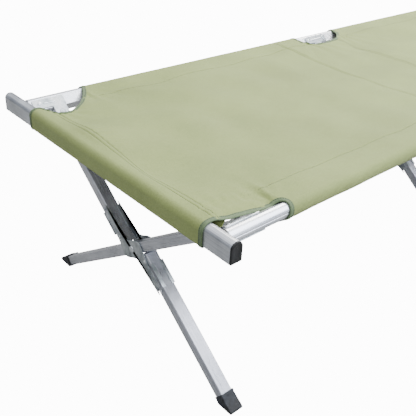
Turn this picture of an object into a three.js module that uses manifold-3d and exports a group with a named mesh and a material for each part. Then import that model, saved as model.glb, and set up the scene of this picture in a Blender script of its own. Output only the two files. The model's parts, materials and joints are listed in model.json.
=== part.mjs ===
// Folding cot: two folding side rails on three X leg sets, two lift-off end bars and a fabric cover.
// Millimetres. +X runs along the length, +Z is up, and the origin is on the floor under the middle.
import * as THREE from "three";
import Module from "manifold-3d";
import { mergeVertices } from "three/addons/utils/BufferGeometryUtils.js";

// Overall sizes
const LENGTH = 1900; // over the outer faces of the end bars
const WIDTH = 664; // over the caps of the end bars
const HEIGHT = 420; // floor to the crown of the end bars

// End bars: a loaf-shaped tube with flat sides and an arched top
const BAR_THICK = 22;
const BAR_DEEP = 35;
const BAR_DOME = 10.5;
const BAR_WALL = 1.6;
const CAP_FLANGE = 3;
const CAP_PLUG = 15;

// Legs
const LEG_DEEP = 26; // along the cot
const LEG_WIDE = 22; // in the plane of the X
const LEG_WALL = 1.5;
const LEG_CORNER = 3;
const LEG_PLAY = 1; // leg to each of the two plates that hold its top

// Side rails: the same kind of tube, rolled so that its arch points out along the leg
const RAIL_THICK = LEG_WIDE + 2 * LEG_PLAY;
const RAIL_DEEP = 34;
const RAIL_DOME = 9;
const RAIL_WALL = 1.6;
const RAIL_END_GAP = 5; // end bar to rail, filled by the plug's collar
const RAIL_SPLIT_OUT = 10; // middle leg to where the two halves of a rail meet
const RAIL_SPLIT_GAP = 2;
const RAIL_DROP = 23.2; // end bar crown down to the middle of the rail
const RAIL_INSET = 44; // outer face of a cap in to the middle of the near rail

// Pins on the plugs at the rail ends, which hold the end bars
const PIN_RADIUS = 4.5;
const PIN_REACH = 13;
const PLUG_DEPTH = 26;
const PIN_ROOT = 1; // how far a pin starts inside its plug

// Leg sets
const PIVOT_HEIGHT = 196;
const END_LEG_INSET = 85; // end bar face to the middle of the first leg set
const MIDDLE_LEG_X = -53;
const SPLIT_LEG_CLEAR = 3.4; // straight leg to the cut ends of the split leg
const LEG_TO_RAIL = 1.2;

// Boots
const BOOT_WALL = 1.6;
const BOOT_SOLE = 3;
const BOOT_LENGTH = 28;

// Plates that join the two halves of the split leg
const PLATE_THICK = 2;
const PLATE_REACH = 106; // pivot to the end of a plate
const PLATE_WAIST = 15; // pivot up to the edge between the two arms
const PLATE_CORNER = 4;
const PLATE_NECK = 44; // pivot up to where the waist starts to widen
const PLATE_HOLLOW = 24.5; // pivot up to the middle of the curve below the neck
const FLANGE_DEEP = 6;
const FLANGE_THICK = 1.4;
const FLANGE_START = 46;
const FLANGE_END = 96;
const PIVOT_RADIUS = 4;
const PIVOT_HEAD_RADIUS = 7;
const PIVOT_HEAD = 2.5;
const HEAD_CROWN = 0.6; // flat top of a rivet head, as a share of its radius
const HEAD_EDGE = 0.33; // straight side of a rivet head, as a share of its height

// Cheek plates that hold the leg tops to the rails, and the hinge plates in the middle
const CHEEK_THICK = 2;
const CHEEK_TO_END = 53; // leg middle towards the end bar
const CHEEK_TO_MIDDLE = 16;
const CHEEK_TOP = 6; // above the middle of the rail
const CHEEK_BOTTOM = 15; // below the middle of the rail
const TONGUE_HALF = 14;
const TONGUE_LENGTH = 42; // middle of the rail to the end of the tongue
const LEG_PIN_DROP = 31;
const LEG_PIN_RADIUS = 3;
const LEG_PIN_HEAD_RADIUS = 5.5;
const LEG_PIN_HEAD = 2;
const HINGE_PLATE_HALF = 40; // leg middle to either end of a hinge plate
const HINGE_PIN_OUT = 30.5; // leg middle to the hinge pin
const HINGE_PIN_DROP = 4.5; // below the middle of the rail
const HINGE_PIN_RADIUS = 4;
const HINGE_PIN_HEAD_RADIUS = 7;

// Cover
const CLOTH = 1.6;
const CLOTH_GAP = 0.7; // cloth to the tube inside a sleeve
const COVER_SAG = 12;
const SIDE_SEAM = 48; // rail middle inwards to the side seam
const END_SEAM = 58; // end bar face inwards to the end seam
const NEAR_SETBACK = 1.2; // rail inwards to the mouth of the end sleeve
const FAR_SETBACK = 34;
const NEAR_CUTOUT = 140; // end bar face to the mouth of the side sleeve
const FAR_CUTOUT = 165;
const MIDDLE_CUTOUT_TO_HEAD = 75; // middle leg to the mouth of the side sleeve
const MIDDLE_CUTOUT_TO_FOOT = 84;
const MIDDLE_CUTOUT_DEPTH = 62; // rail middle inwards
const CUTOUT_CORNER = 38;
const RISE_LENGTH = 110; // how soon the deck comes down from an end bar to the rails
const SAG_LENGTH = 330; // how soon it reaches its full sag
const DECK_COLUMNS = 16;
const DECK_ROWS = 11;
const ARC_STEPS = 8;

// Fits
const GAP = 0.3;
const LEG_SIDE_GAP = 1; // between the legs of one X when they lie side by side
const SMOOTH = 4; // segments in a small curve
const ROUND = 8; // segments in half a hole
const PIN_SIDES = 12;

const wasm = await Module();
wasm.setup();

const aluminium = { color: 0xb9bdc2, roughness: 0.35, metalness: 0.95 };
const steel = { color: 0x6f7476, roughness: 0.4, metalness: 0.9 };
const rubber = { color: 0x17181a, roughness: 0.8, metalness: 0 };
const fabric = { color: 0xb9c3a2, roughness: 0.9, metalness: 0 };

// A closed mesh as a solid that can be joined and cut.
function toSolid(geometry) {
  const bare = geometry.clone();
  bare.deleteAttribute("normal");
  bare.deleteAttribute("uv");
  const merged = mergeVertices(bare, 1e-4);
  return new wasm.Manifold(
    new wasm.Mesh({
      numProp: 3,
      vertProperties: new Float32Array(merged.attributes.position.array),
      triVerts: new Uint32Array(merged.index.array),
    }),
  );
}

function toGeometry(solid) {
  const { vertProperties, triVerts } = solid.getMesh();
  const geometry = new THREE.BufferGeometry();
  geometry.setAttribute("position", new THREE.BufferAttribute(vertProperties, 3));
  geometry.setIndex(new THREE.BufferAttribute(triVerts, 1));
  geometry.computeVertexNormals();
  return geometry;
}

function join(first, ...others) {
  return toGeometry(others.reduce((all, one) => all.add(toSolid(one)), toSolid(first)));
}

function cut(first, ...others) {
  return toGeometry(others.reduce((all, one) => all.subtract(toSolid(one)), toSolid(first)));
}

function piece(name, geometry, finish) {
  const mesh = new THREE.Mesh(geometry, new THREE.MeshStandardMaterial(finish));
  mesh.name = name;
  return mesh;
}

// Stands an object at a point with its own X and Y along two directions.
function place(object, at, alongX, alongY) {
  const alongZ = new THREE.Vector3().crossVectors(alongX, alongY);
  object.quaternion.setFromRotationMatrix(new THREE.Matrix4().makeBasis(alongX, alongY, alongZ));
  object.position.copy(at);
  return object;
}

function extrude(shape, depth, segments = SMOOTH) {
  return new THREE.ExtrudeGeometry(shape, { depth, bevelEnabled: false, curveSegments: segments });
}

// A cylinder along Z from one height to another.
function rod(radius, from, to, sides = 16) {
  const geometry = new THREE.CylinderGeometry(radius, radius, to - from, sides);
  return geometry.rotateX(Math.PI / 2).translate(0, 0, (from + to) / 2);
}

// Section with flat sides and base and an arched top, centred on its depth.
function loaf(thick, deep, dome, corner, inset = 0) {
  const half = thick / 2 - inset;
  const base = inset - deep / 2;
  const crown = deep / 2 - inset;
  const arch = dome * (half / (thick / 2));
  const radius = (half * half + arch * arch) / (2 * arch);
  const spread = Math.asin(half / radius);
  const shape = new THREE.Shape();
  shape.moveTo(corner - half, base);
  shape.lineTo(half - corner, base);
  shape.quadraticCurveTo(half, base, half, base + corner);
  shape.lineTo(half, crown - arch);
  shape.absarc(0, crown - radius, radius, Math.PI / 2 - spread, Math.PI / 2 + spread, false);
  shape.lineTo(-half, base + corner);
  shape.quadraticCurveTo(-half, base, corner - half, base);
  return shape;
}

function hollowLoaf(thick, deep, dome, wall) {
  const shape = loaf(thick, deep, dome, wall);
  shape.holes.push(loaf(thick, deep, dome, wall / 2, wall));
  return shape;
}

function roundedBox(wide, deep, corner) {
  const x = wide / 2;
  const y = deep / 2;
  const shape = new THREE.Shape();
  shape.moveTo(corner - x, -y);
  shape.lineTo(x - corner, -y);
  shape.quadraticCurveTo(x, -y, x, corner - y);
  shape.lineTo(x, y - corner);
  shape.quadraticCurveTo(x, y, x - corner, y);
  shape.lineTo(corner - x, y);
  shape.quadraticCurveTo(-x, y, -x, y - corner);
  shape.lineTo(-x, corner - y);
  shape.quadraticCurveTo(-x, -y, corner - x, -y);
  return shape;
}

// Moves the far end of an extrusion so that it lies on a plane that slopes along Y.
function mitre(geometry, middle, slope) {
  const points = geometry.attributes.position;
  for (let i = 0; i < points.count; i += 1) {
    if (points.getZ(i) > middle / 2) {
      points.setZ(i, middle + slope * points.getY(i));
    }
  }
  geometry.computeVertexNormals();
  return geometry;
}

const alongLength = new THREE.Vector3(1, 0, 0);
const upward = new THREE.Vector3(0, 0, 1);
const barMiddle = HEIGHT - BAR_DEEP / 2;
const railEnd = LENGTH / 2 - BAR_THICK - RAIL_END_GAP;
const railSplit = MIDDLE_LEG_X + RAIL_SPLIT_OUT;
const hingePinX = MIDDLE_LEG_X + HINGE_PIN_OUT;

// The two lean angles, from upright. The split leg's halves lie beside its pivot, one on each side.
const railHeight = HEIGHT - RAIL_DROP;
const sidestep = LEG_WIDE + LEG_SIDE_GAP;
const straightLean = Math.atan2(WIDTH / 2 - RAIL_INSET, railHeight - PIVOT_HEIGHT);
const footReach = PIVOT_HEIGHT / Math.cos(straightLean);
const splitLean = straightLean - Math.asin(sidestep / footReach);

// Where the halves of the split leg start, so that their cut ends clear the straight leg.
const crossing = Math.PI - straightLean - splitLean;
const cutSide = (sidestep + LEG_WIDE / 2) * Math.cos(crossing);
const splitStart = (LEG_WIDE / 2 + SPLIT_LEG_CLEAR + cutSide) / Math.sin(crossing);

// A side's frame in the YZ plane: out points from the pivot up to the rail, in lies square to it.
function sideFrame(sign, lean, offset) {
  const out = new THREE.Vector3(0, sign * Math.sin(lean), Math.cos(lean));
  const inward = new THREE.Vector3(0, -sign * Math.cos(lean), Math.sin(lean));
  const start = new THREE.Vector3(0, 0, PIVOT_HEIGHT).addScaledVector(inward, -offset);
  const reach = (railHeight - start.z) / out.z;
  const rail = start.clone().addScaledVector(out, reach);
  return { sign, lean, out, inward, reach, rail };
}

const near = sideFrame(-1, straightLean, 0);
const far = sideFrame(1, splitLean, sidestep);

// A point of a side's rail section, given across the flats and along the arch.
function railPoint(side, across, along) {
  return side.rail
    .clone()
    .addScaledVector(side.inward, across)
    .addScaledVector(side.out, along);
}

const nearRailInner = railPoint(near, RAIL_THICK / 2, -RAIL_DEEP / 2).y;
const farRailInner = railPoint(far, RAIL_THICK / 2, -RAIL_DEEP / 2).y;
const nearMouth = nearRailInner + NEAR_SETBACK;
const farMouth = farRailInner - FAR_SETBACK;

// Lays a piece on a side so that its Y follows the arch and its Z runs along the cot.
function alongRail(mesh, side, x) {
  const across = side.inward.clone().multiplyScalar(-side.sign);
  return place(mesh, side.rail.clone().setX(x), across, side.out);
}

// ---- End bars and their caps
function barPoint(end, y) {
  return new THREE.Vector3(end * (LENGTH / 2 - BAR_THICK / 2), y, barMiddle);
}

function endBar(name, end) {
  const group = new THREE.Group();
  const length = WIDTH - 2 * (CAP_FLANGE + GAP);
  const tube = extrude(hollowLoaf(BAR_THICK, BAR_DEEP, BAR_DOME, BAR_WALL), length);
  const holes = [near, far].map((side) => {
    const hole = rod(PIN_RADIUS + GAP, 0, BAR_THICK);
    hole.rotateY(Math.PI / 2);
    hole.translate(end > 0 ? -BAR_THICK : 0, side.rail.z - barMiddle, length / 2 - side.rail.y);
    return hole;
  });
  const bar = piece(name, cut(tube, ...holes), aluminium);
  group.add(place(bar, barPoint(end, length / 2), alongLength, upward));
  for (const [where, sign] of [["near", -1], ["far", 1]]) {
    const flange = extrude(loaf(BAR_THICK, BAR_DEEP, BAR_DOME, BAR_WALL), CAP_FLANGE);
    const plugShape = loaf(BAR_THICK, BAR_DEEP, BAR_DOME, BAR_WALL / 2, BAR_WALL + GAP);
    const plug = extrude(plugShape, CAP_PLUG + CAP_FLANGE);
    flange.translate(0, 0, sign > 0 ? 0 : CAP_PLUG);
    const cap = piece(`${name}_cap_${where}`, join(flange, plug), rubber);
    const outer = sign > 0 ? WIDTH / 2 : -WIDTH / 2 + CAP_PLUG + CAP_FLANGE;
    group.add(place(cap, barPoint(end, outer), alongLength, upward));
  }
  return group;
}

// ---- Side rails, their plugs and the hinge in the middle
function rails(label, side) {
  const group = new THREE.Group();
  const section = hollowLoaf(RAIL_THICK, RAIL_DEEP, RAIL_DOME, RAIL_WALL);
  const headEnd = railSplit - RAIL_SPLIT_GAP / 2;
  const footStart = railSplit + RAIL_SPLIT_GAP / 2;
  const head = piece(`${label}_rail_head`, extrude(section, headEnd + railEnd), aluminium);
  group.add(alongRail(head, side, -railEnd));
  const pinHole = rod(HINGE_PIN_RADIUS + GAP, -RAIL_THICK, RAIL_THICK);
  pinHole.rotateY(Math.PI / 2);
  pinHole.translate(0, -HINGE_PIN_DROP, hingePinX - footStart);
  const footTube = cut(extrude(section, railEnd - footStart), pinHole);
  group.add(alongRail(piece(`${label}_rail_foot`, footTube, aluminium), side, footStart));
  for (const [where, end] of [["head", -1], ["foot", 1]]) {
    const plug = piece(`${label}_plug_${where}`, railPlug(end), rubber);
    group.add(alongRail(plug, side, end * railEnd));
  }
  const pin = headedPin(HINGE_PIN_RADIUS, railGrip, HINGE_PIN_HEAD_RADIUS, LEG_PIN_HEAD);
  group.add(acrossRail(piece(`${label}_hinge_pin`, pin, steel), side, hingePinX, -HINGE_PIN_DROP));
  return group;
}

// A plug with a body in the tube, a collar over its end and a pin for the end bar.
function railPlug(end) {
  const clear = RAIL_WALL + GAP;
  const body = extrude(loaf(RAIL_THICK, RAIL_DEEP, RAIL_DOME, RAIL_WALL / 2, clear), PLUG_DEPTH);
  const collarThick = RAIL_END_GAP - 2 * GAP;
  const collar = extrude(loaf(RAIL_THICK, RAIL_DEEP, RAIL_DOME, RAIL_WALL, GAP), collarThick);
  collar.translate(0, 0, end > 0 ? GAP : -GAP - collarThick);
  const tip = RAIL_END_GAP + PIN_REACH;
  body.translate(0, 0, end > 0 ? GAP - PLUG_DEPTH : -GAP);
  const pin = end > 0 ? rod(PIN_RADIUS, -PIN_ROOT, tip) : rod(PIN_RADIUS, -tip, PIN_ROOT);
  return join(body, collar, pin);
}

// A flat plate on one face of a rail. Its outline's X runs along the cot and its Y along the arch.
function railPlate(name, side, face, x, outline, holes) {
  for (const [holeX, holeY, radius] of holes) {
    const hole = new THREE.Path();
    hole.absarc(holeX, holeY, radius, 0, 2 * Math.PI, false);
    outline.holes.push(hole);
  }
  const plate = piece(name, extrude(outline, CHEEK_THICK, ROUND), steel);
  const through = side.inward.clone().multiplyScalar(side.sign);
  const middle = face * (RAIL_THICK / 2 + GAP + CHEEK_THICK / 2);
  const at = railPoint(side, middle, 0).setX(x).addScaledVector(through, -CHEEK_THICK / 2);
  return place(plate, at, alongLength, side.out);
}

// Outline of a cheek: a strip along the rail with a tongue down the leg.
function cheekOutline(from, to) {
  const points = [
    [from, -CHEEK_BOTTOM],
    [-TONGUE_HALF, -CHEEK_BOTTOM],
    [-TONGUE_HALF, TONGUE_HALF / 2 - TONGUE_LENGTH],
    [-TONGUE_HALF / 2, -TONGUE_LENGTH],
    [TONGUE_HALF / 2, -TONGUE_LENGTH],
    [TONGUE_HALF, TONGUE_HALF / 2 - TONGUE_LENGTH],
    [TONGUE_HALF, -CHEEK_BOTTOM],
    [to, -CHEEK_BOTTOM],
    [to, CHEEK_TOP],
    [from, CHEEK_TOP],
  ];
  return new THREE.Shape(points.map(([x, y]) => new THREE.Vector2(x, y)));
}

// A headed pin along Z, centred, with its heads outside the given grip.
function headedPin(radius, grip, headRadius, head) {
  const half = grip / 2;
  const profile = [
    [0, -half - head],
    [headRadius * HEAD_CROWN, -half - head],
    [headRadius, -half - head * HEAD_EDGE],
    [headRadius, -half],
    [radius, -half],
    [radius, half],
    [headRadius, half],
    [headRadius, half + head * HEAD_EDGE],
    [headRadius * HEAD_CROWN, half + head],
    [0, half + head],
  ];
  const lathe = new THREE.LatheGeometry(profile.map(([x, y]) => new THREE.Vector2(x, y)), PIN_SIDES);
  return lathe.rotateX(Math.PI / 2);
}

const railGrip = RAIL_THICK + 2 * (2 * GAP + CHEEK_THICK);

function acrossRail(mesh, side, x, along) {
  const at = railPoint(side, 0, along).setX(x);
  return place(mesh, at, alongLength, new THREE.Vector3().crossVectors(side.inward, alongLength));
}

function legTop(label, side, where, x, end) {
  const group = new THREE.Group();
  const pinHole = [0, -LEG_PIN_DROP, LEG_PIN_RADIUS + GAP];
  const hingeHole = [HINGE_PIN_OUT, -HINGE_PIN_DROP, HINGE_PIN_RADIUS + GAP];
  for (const [face, sign] of [["inner", 1], ["outer", -1]]) {
    if (end === 0) {
      const outline = cheekOutline(-HINGE_PLATE_HALF, HINGE_PLATE_HALF);
      const name = `${label}_hinge_plate_${face}`;
      group.add(railPlate(name, side, sign, x, outline, [pinHole, hingeHole]));
    } else {
      const from = end < 0 ? -CHEEK_TO_END : -CHEEK_TO_MIDDLE;
      const to = end < 0 ? CHEEK_TO_MIDDLE : CHEEK_TO_END;
      const name = `${label}_cheek_${face}_${where}`;
      group.add(railPlate(name, side, sign, x, cheekOutline(from, to), [pinHole]));
    }
  }
  const pin = headedPin(LEG_PIN_RADIUS, railGrip, LEG_PIN_HEAD_RADIUS, LEG_PIN_HEAD);
  group.add(acrossRail(piece(`${label}_leg_pin_${where}`, pin, steel), side, x, -LEG_PIN_DROP));
  return group;
}

// ---- Legs, boots, X plates and pivots
const legShape = roundedBox(LEG_DEEP, LEG_WIDE, LEG_CORNER);
legShape.holes.push(
  roundedBox(LEG_DEEP - 2 * LEG_WALL, LEG_WIDE - 2 * LEG_WALL, LEG_CORNER - LEG_WALL),
);

// Hangs a downward tube from a point: its X runs along the cot and its Z down the leg.
function downLeg(mesh, at, down) {
  return place(mesh, at, alongLength, new THREE.Vector3().crossVectors(down, alongLength));
}

// How far down a line the plane at a height lies, and how that changes across the leg.
function floorCut(at, down, height) {
  return { middle: (at.z - height) / -down.z, slope: down.y / down.z };
}

function footedTube(at, down) {
  const end = floorCut(at, down, BOOT_SOLE);
  return mitre(extrude(legShape, end.middle), end.middle, end.slope);
}

function boot(name, at, down) {
  const floor = floorCut(at, down, 0);
  const top = at.clone().addScaledVector(down, floor.middle - BOOT_LENGTH);
  const wall = 2 * (BOOT_WALL + GAP);
  const outerShape = roundedBox(LEG_DEEP + wall, LEG_WIDE + wall, LEG_CORNER + BOOT_WALL);
  const outer = mitre(extrude(outerShape, BOOT_LENGTH), BOOT_LENGTH, floor.slope);
  const pocketShape = roundedBox(LEG_DEEP + 2 * GAP, LEG_WIDE + 2 * GAP, LEG_CORNER);
  const pocketTop = top.clone().addScaledVector(down, -BOOT_LENGTH);
  const sole = floorCut(pocketTop, down, BOOT_SOLE - GAP);
  const pocket = mitre(extrude(pocketShape, sole.middle), sole.middle, sole.slope);
  pocket.translate(0, 0, -BOOT_LENGTH);
  return downLeg(piece(name, cut(outer, pocket), rubber), top, down);
}

// Round hole across a leg, either along the cot or in the plane of the X.
function legHole(radius, along, direction) {
  const hole = rod(radius, -LEG_DEEP, LEG_DEEP);
  if (direction === "cot") {
    hole.rotateY(Math.PI / 2);
  } else {
    hole.rotateX(Math.PI / 2);
  }
  return hole.translate(0, 0, along);
}

const legTopDrop = RAIL_DEEP / 2 + LEG_TO_RAIL;

function straightLeg(where, x) {
  const group = new THREE.Group();
  const down = near.out.clone().negate();
  const top = near.rail.clone().setX(x).addScaledVector(down, legTopDrop);
  const pinHole = legHole(LEG_PIN_RADIUS + GAP, LEG_PIN_DROP - legTopDrop, "plane");
  const pivotHole = legHole(PIVOT_RADIUS + GAP, near.reach - legTopDrop, "cot");
  const tube = cut(footedTube(top, down), pinHole, pivotHole);
  group.add(downLeg(piece(`straight_leg_${where}`, tube, aluminium), top, down));
  group.add(boot(`straight_boot_${where}`, top, down));
  return group;
}

function splitLeg(where, x) {
  const group = new THREE.Group();
  const down = far.out.clone().negate();
  const top = far.rail.clone().setX(x).addScaledVector(down, legTopDrop);
  const pinHole = legHole(LEG_PIN_RADIUS + GAP, LEG_PIN_DROP - legTopDrop, "plane");
  const upperTube = extrude(legShape, far.reach - legTopDrop - splitStart);
  group.add(downLeg(piece(`upper_leg_${where}`, cut(upperTube, pinHole), aluminium), top, down));
  const lowerTop = new THREE.Vector3(x, 0, PIVOT_HEIGHT)
    .addScaledVector(far.inward, sidestep)
    .addScaledVector(down, splitStart);
  const lowerTube = footedTube(lowerTop, down);
  group.add(downLeg(piece(`lower_leg_${where}`, lowerTube, aluminium), lowerTop, down));
  group.add(boot(`lower_boot_${where}`, lowerTop, down));
  return group;
}

// Outline of an X plate: an arm up beside the upper tube and, turned round the pivot, one down
// beside the lower. X runs across the leg towards the upper tube, and Y runs up the leg.
const armHalf = LEG_WIDE / 2 + GAP + FLANGE_THICK;

function plateOutline() {
  const inner = sidestep - armHalf;
  const outer = sidestep + armHalf;
  const half = [
    [inner + PLATE_CORNER, PLATE_REACH],
    [inner, PLATE_REACH - PLATE_CORNER],
    [inner, PLATE_NECK],
    [inner / 3, PLATE_HOLLOW],
    [-inner, PLATE_WAIST],
    [2 * PLATE_CORNER - outer, PLATE_WAIST - 2 * PLATE_CORNER],
    [-outer, PLATE_WAIST - 4 * PLATE_CORNER],
    [-outer, PLATE_CORNER - PLATE_REACH],
    [PLATE_CORNER - outer, -PLATE_REACH],
  ];
  const points = [...half, ...half.map(([x, y]) => [-x, -y])];
  return new THREE.Shape(points.map(([x, y]) => new THREE.Vector2(x, y)));
}

// A plate with a hole for the pivot and flanges bent over both edges of both tubes.
function xPlate(name, x, facing) {
  const outline = plateOutline();
  const hole = new THREE.Path();
  hole.absarc(0, 0, PIVOT_RADIUS + GAP, 0, 2 * Math.PI, false);
  outline.holes.push(hole);
  const flanges = [];
  for (const [half, edge] of [[1, 1], [1, -1], [-1, 1], [-1, -1]]) {
    const across = half * sidestep + edge * (armHalf - FLANGE_THICK / 2);
    const up = (half * (FLANGE_START + FLANGE_END)) / 2;
    const deep = PLATE_THICK + FLANGE_DEEP;
    const strip = new THREE.BoxGeometry(FLANGE_THICK, FLANGE_END - FLANGE_START, deep);
    flanges.push(strip.translate(across, up, PLATE_THICK / 2 + (facing * FLANGE_DEEP) / 2));
  }
  const plate = piece(name, join(extrude(outline, PLATE_THICK, ROUND), ...flanges), steel);
  const depth = LEG_DEEP / 2 + GAP + (facing > 0 ? PLATE_THICK : 0);
  const at = new THREE.Vector3(x - facing * depth, 0, PIVOT_HEIGHT);
  return place(plate, at, far.inward.clone().negate(), far.out);
}

function xPivot(name, x) {
  const grip = LEG_DEEP + 2 * (2 * GAP + PLATE_THICK);
  const pin = headedPin(PIVOT_RADIUS, grip, PIVOT_HEAD_RADIUS, PIVOT_HEAD);
  const at = new THREE.Vector3(x, 0, PIVOT_HEIGHT);
  return place(piece(name, pin, steel), at, upward, new THREE.Vector3(0, 1, 0));
}

function legSet(where, x, end) {
  const group = new THREE.Group();
  group.add(straightLeg(where, x), splitLeg(where, x));
  group.add(xPlate(`x_plate_front_${where}`, x, 1), xPlate(`x_plate_back_${where}`, x, -1));
  group.add(xPivot(`x_pivot_${where}`, x));
  group.add(legTop("near", near, where, x, end), legTop("far", far, where, x, end));
  return group;
}

// ---- Cover: a deck that sags a little between the rails, with a sleeve along each edge
const clothOut = CLOTH_GAP + CLOTH;

function archRadius(thick, dome) {
  return (thick * thick) / (8 * dome) + dome / 2;
}

const railArch = archRadius(RAIL_THICK, RAIL_DOME);
const barArch = archRadius(BAR_THICK, BAR_DOME);

function archMiddle(side) {
  return railPoint(side, 0, RAIL_DEEP / 2 - railArch);
}

const deckLevel = Math.max(archMiddle(near).z, archMiddle(far).z) + railArch + CLOTH_GAP + CLOTH / 2;
const barLevel = HEIGHT + CLOTH_GAP + CLOTH / 2;

function smooth(value) {
  const t = Math.min(Math.max(value, 0), 1);
  return t * t * (3 - 2 * t);
}

// Height of the middle of the deck's cloth.
function deckHeight(x, y) {
  const fromBar = LENGTH / 2 - BAR_THICK / 2 - Math.abs(x);
  const span = y < 0 ? archMiddle(near).y : archMiddle(far).y;
  const sag = COVER_SAG * (1 - (y / span) ** 2) * smooth(fromBar / SAG_LENGTH);
  return deckLevel - Math.max(sag, 0) + (barLevel - deckLevel) * (1 - smooth(fromBar / RISE_LENGTH));
}

function deck() {
  const from = archMiddle(near).y - CLOTH;
  const to = archMiddle(far).y + CLOTH;
  const length = LENGTH - BAR_THICK + 2 * CLOTH;
  const geometry = new THREE.BoxGeometry(length, to - from, CLOTH, DECK_COLUMNS, DECK_ROWS, 1);
  geometry.translate(0, (from + to) / 2, 0);
  const points = geometry.attributes.position;
  for (let i = 0; i < points.count; i += 1) {
    points.setZ(i, points.getZ(i) + deckHeight(points.getX(i), points.getY(i)));
  }
  return geometry;
}

// Points of an arc in a plane, with angles from upright.
function arcPoints(middle, radius, from, to) {
  return Array.from({ length: ARC_STEPS + 1 }, (_, i) => {
    const angle = from + ((to - from) * i) / ARC_STEPS;
    return [middle[0] + radius * Math.sin(angle), middle[1] + radius * Math.cos(angle)];
  });
}

function flatShape(points) {
  return new THREE.Shape(points.map(([x, y]) => new THREE.Vector2(x, y)));
}

// Turns an extrusion so that its outline's X and Y are the cot's Y and Z, from one X onwards.
function turnUpright(geometry, from) {
  const turn = new THREE.Matrix4().makeBasis(new THREE.Vector3(0, 1, 0), upward, alongLength);
  return geometry.applyMatrix4(turn).translate(from, 0, 0);
}

// Cloth round the outside of a rail: over the arch, down its outer face and back up to the seam.
function sideSleeve(side, from, to) {
  const middle = archMiddle(side);
  const spread = side.sign * (side.lean + Math.asin(RAIL_THICK / 2 / railArch));
  const seam = side.rail.y - side.sign * SIDE_SEAM;
  const path = (gap, seamShift) => {
    const corner = railPoint(side, -RAIL_THICK / 2 - gap, -RAIL_DEEP / 2 - gap);
    return [
      ...arcPoints([middle.y, middle.z], railArch + gap, 0, spread),
      [corner.y, corner.z],
      [seam - side.sign * seamShift, deckHeight(0, seam)],
    ];
  };
  const shape = flatShape([...path(clothOut, CLOTH), ...path(CLOTH_GAP, 0).reverse()]);
  return turnUpright(extrude(shape, to - from), from);
}

// Cloth round an end bar, from its crown round the outside and back up to the end seam.
function endSleeve(end) {
  const face = LENGTH / 2;
  const path = (gap, seamShift) => {
    const low = HEIGHT - BAR_DEEP - gap;
    const arch = [face - BAR_THICK / 2, HEIGHT - barArch];
    return [
      ...arcPoints(arch, barArch + gap, 0, Math.asin(BAR_THICK / 2 / barArch)),
      [face + gap, low],
      [face - BAR_THICK - gap, low],
      [face - END_SEAM - seamShift, deckHeight(face - END_SEAM, nearMouth)],
    ];
  };
  const outline = [...path(clothOut, CLOTH), ...path(CLOTH_GAP, 0).reverse()];
  const shape = flatShape(outline.map(([x, z]) => [end * x, z]));
  const turn = new THREE.Matrix4().makeBasis(alongLength, upward, new THREE.Vector3(0, -1, 0));
  return extrude(shape, farMouth - nearMouth).applyMatrix4(turn).translate(0, farMouth, 0);
}

// A block that cuts a curved opening into one edge of the deck.
function opening(fromX, toX, side, edge, roundFrom, roundTo) {
  const away = side.sign * WIDTH;
  const turn = side.sign * CUTOUT_CORNER;
  const shape = new THREE.Shape();
  shape.moveTo(fromX, away);
  shape.lineTo(fromX, edge + (roundFrom ? turn : 0));
  if (roundFrom) {
    shape.quadraticCurveTo(fromX, edge, fromX + CUTOUT_CORNER, edge);
  }
  shape.lineTo(toX - (roundTo ? CUTOUT_CORNER : 0), edge);
  if (roundTo) {
    shape.quadraticCurveTo(toX, edge, toX, edge + turn);
  }
  shape.lineTo(toX, away);
  return extrude(shape, HEIGHT).translate(0, 0, PIVOT_HEIGHT);
}

function cover() {
  const sleeves = [endSleeve(-1), endSleeve(1)];
  const openings = [];
  const past = LENGTH / 2 + BAR_THICK;
  const middleFrom = MIDDLE_LEG_X - MIDDLE_CUTOUT_TO_HEAD;
  const middleTo = MIDDLE_LEG_X + MIDDLE_CUTOUT_TO_FOOT;
  for (const [side, cutout, mouth] of [[near, NEAR_CUTOUT, nearMouth], [far, FAR_CUTOUT, farMouth]]) {
    const start = LENGTH / 2 - cutout;
    sleeves.push(sideSleeve(side, -start, middleFrom));
    sleeves.push(sideSleeve(side, middleTo, start));
    const edge = side.rail.y - side.sign * MIDDLE_CUTOUT_DEPTH;
    openings.push(opening(-past, -start, side, mouth, false, true));
    openings.push(opening(start, past, side, mouth, true, false));
    openings.push(opening(middleFrom, middleTo, side, edge, true, true));
  }
  return piece("cover", cut(join(deck(), ...sleeves), ...openings), fabric);
}

// ---- The whole cot
const cot = new THREE.Group();
cot.add(cover());
cot.add(endBar("head_bar", -1), endBar("foot_bar", 1));
cot.add(rails("near", near), rails("far", far));
const endLegX = LENGTH / 2 - END_LEG_INSET;
cot.add(legSet("head", -endLegX, -1));
cot.add(legSet("middle", MIDDLE_LEG_X, 0));
cot.add(legSet("foot", endLegX, 1));

export default cot;
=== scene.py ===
import json
import bmesh
import bpy
import numpy as np
from mathutils import Matrix, Vector


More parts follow.
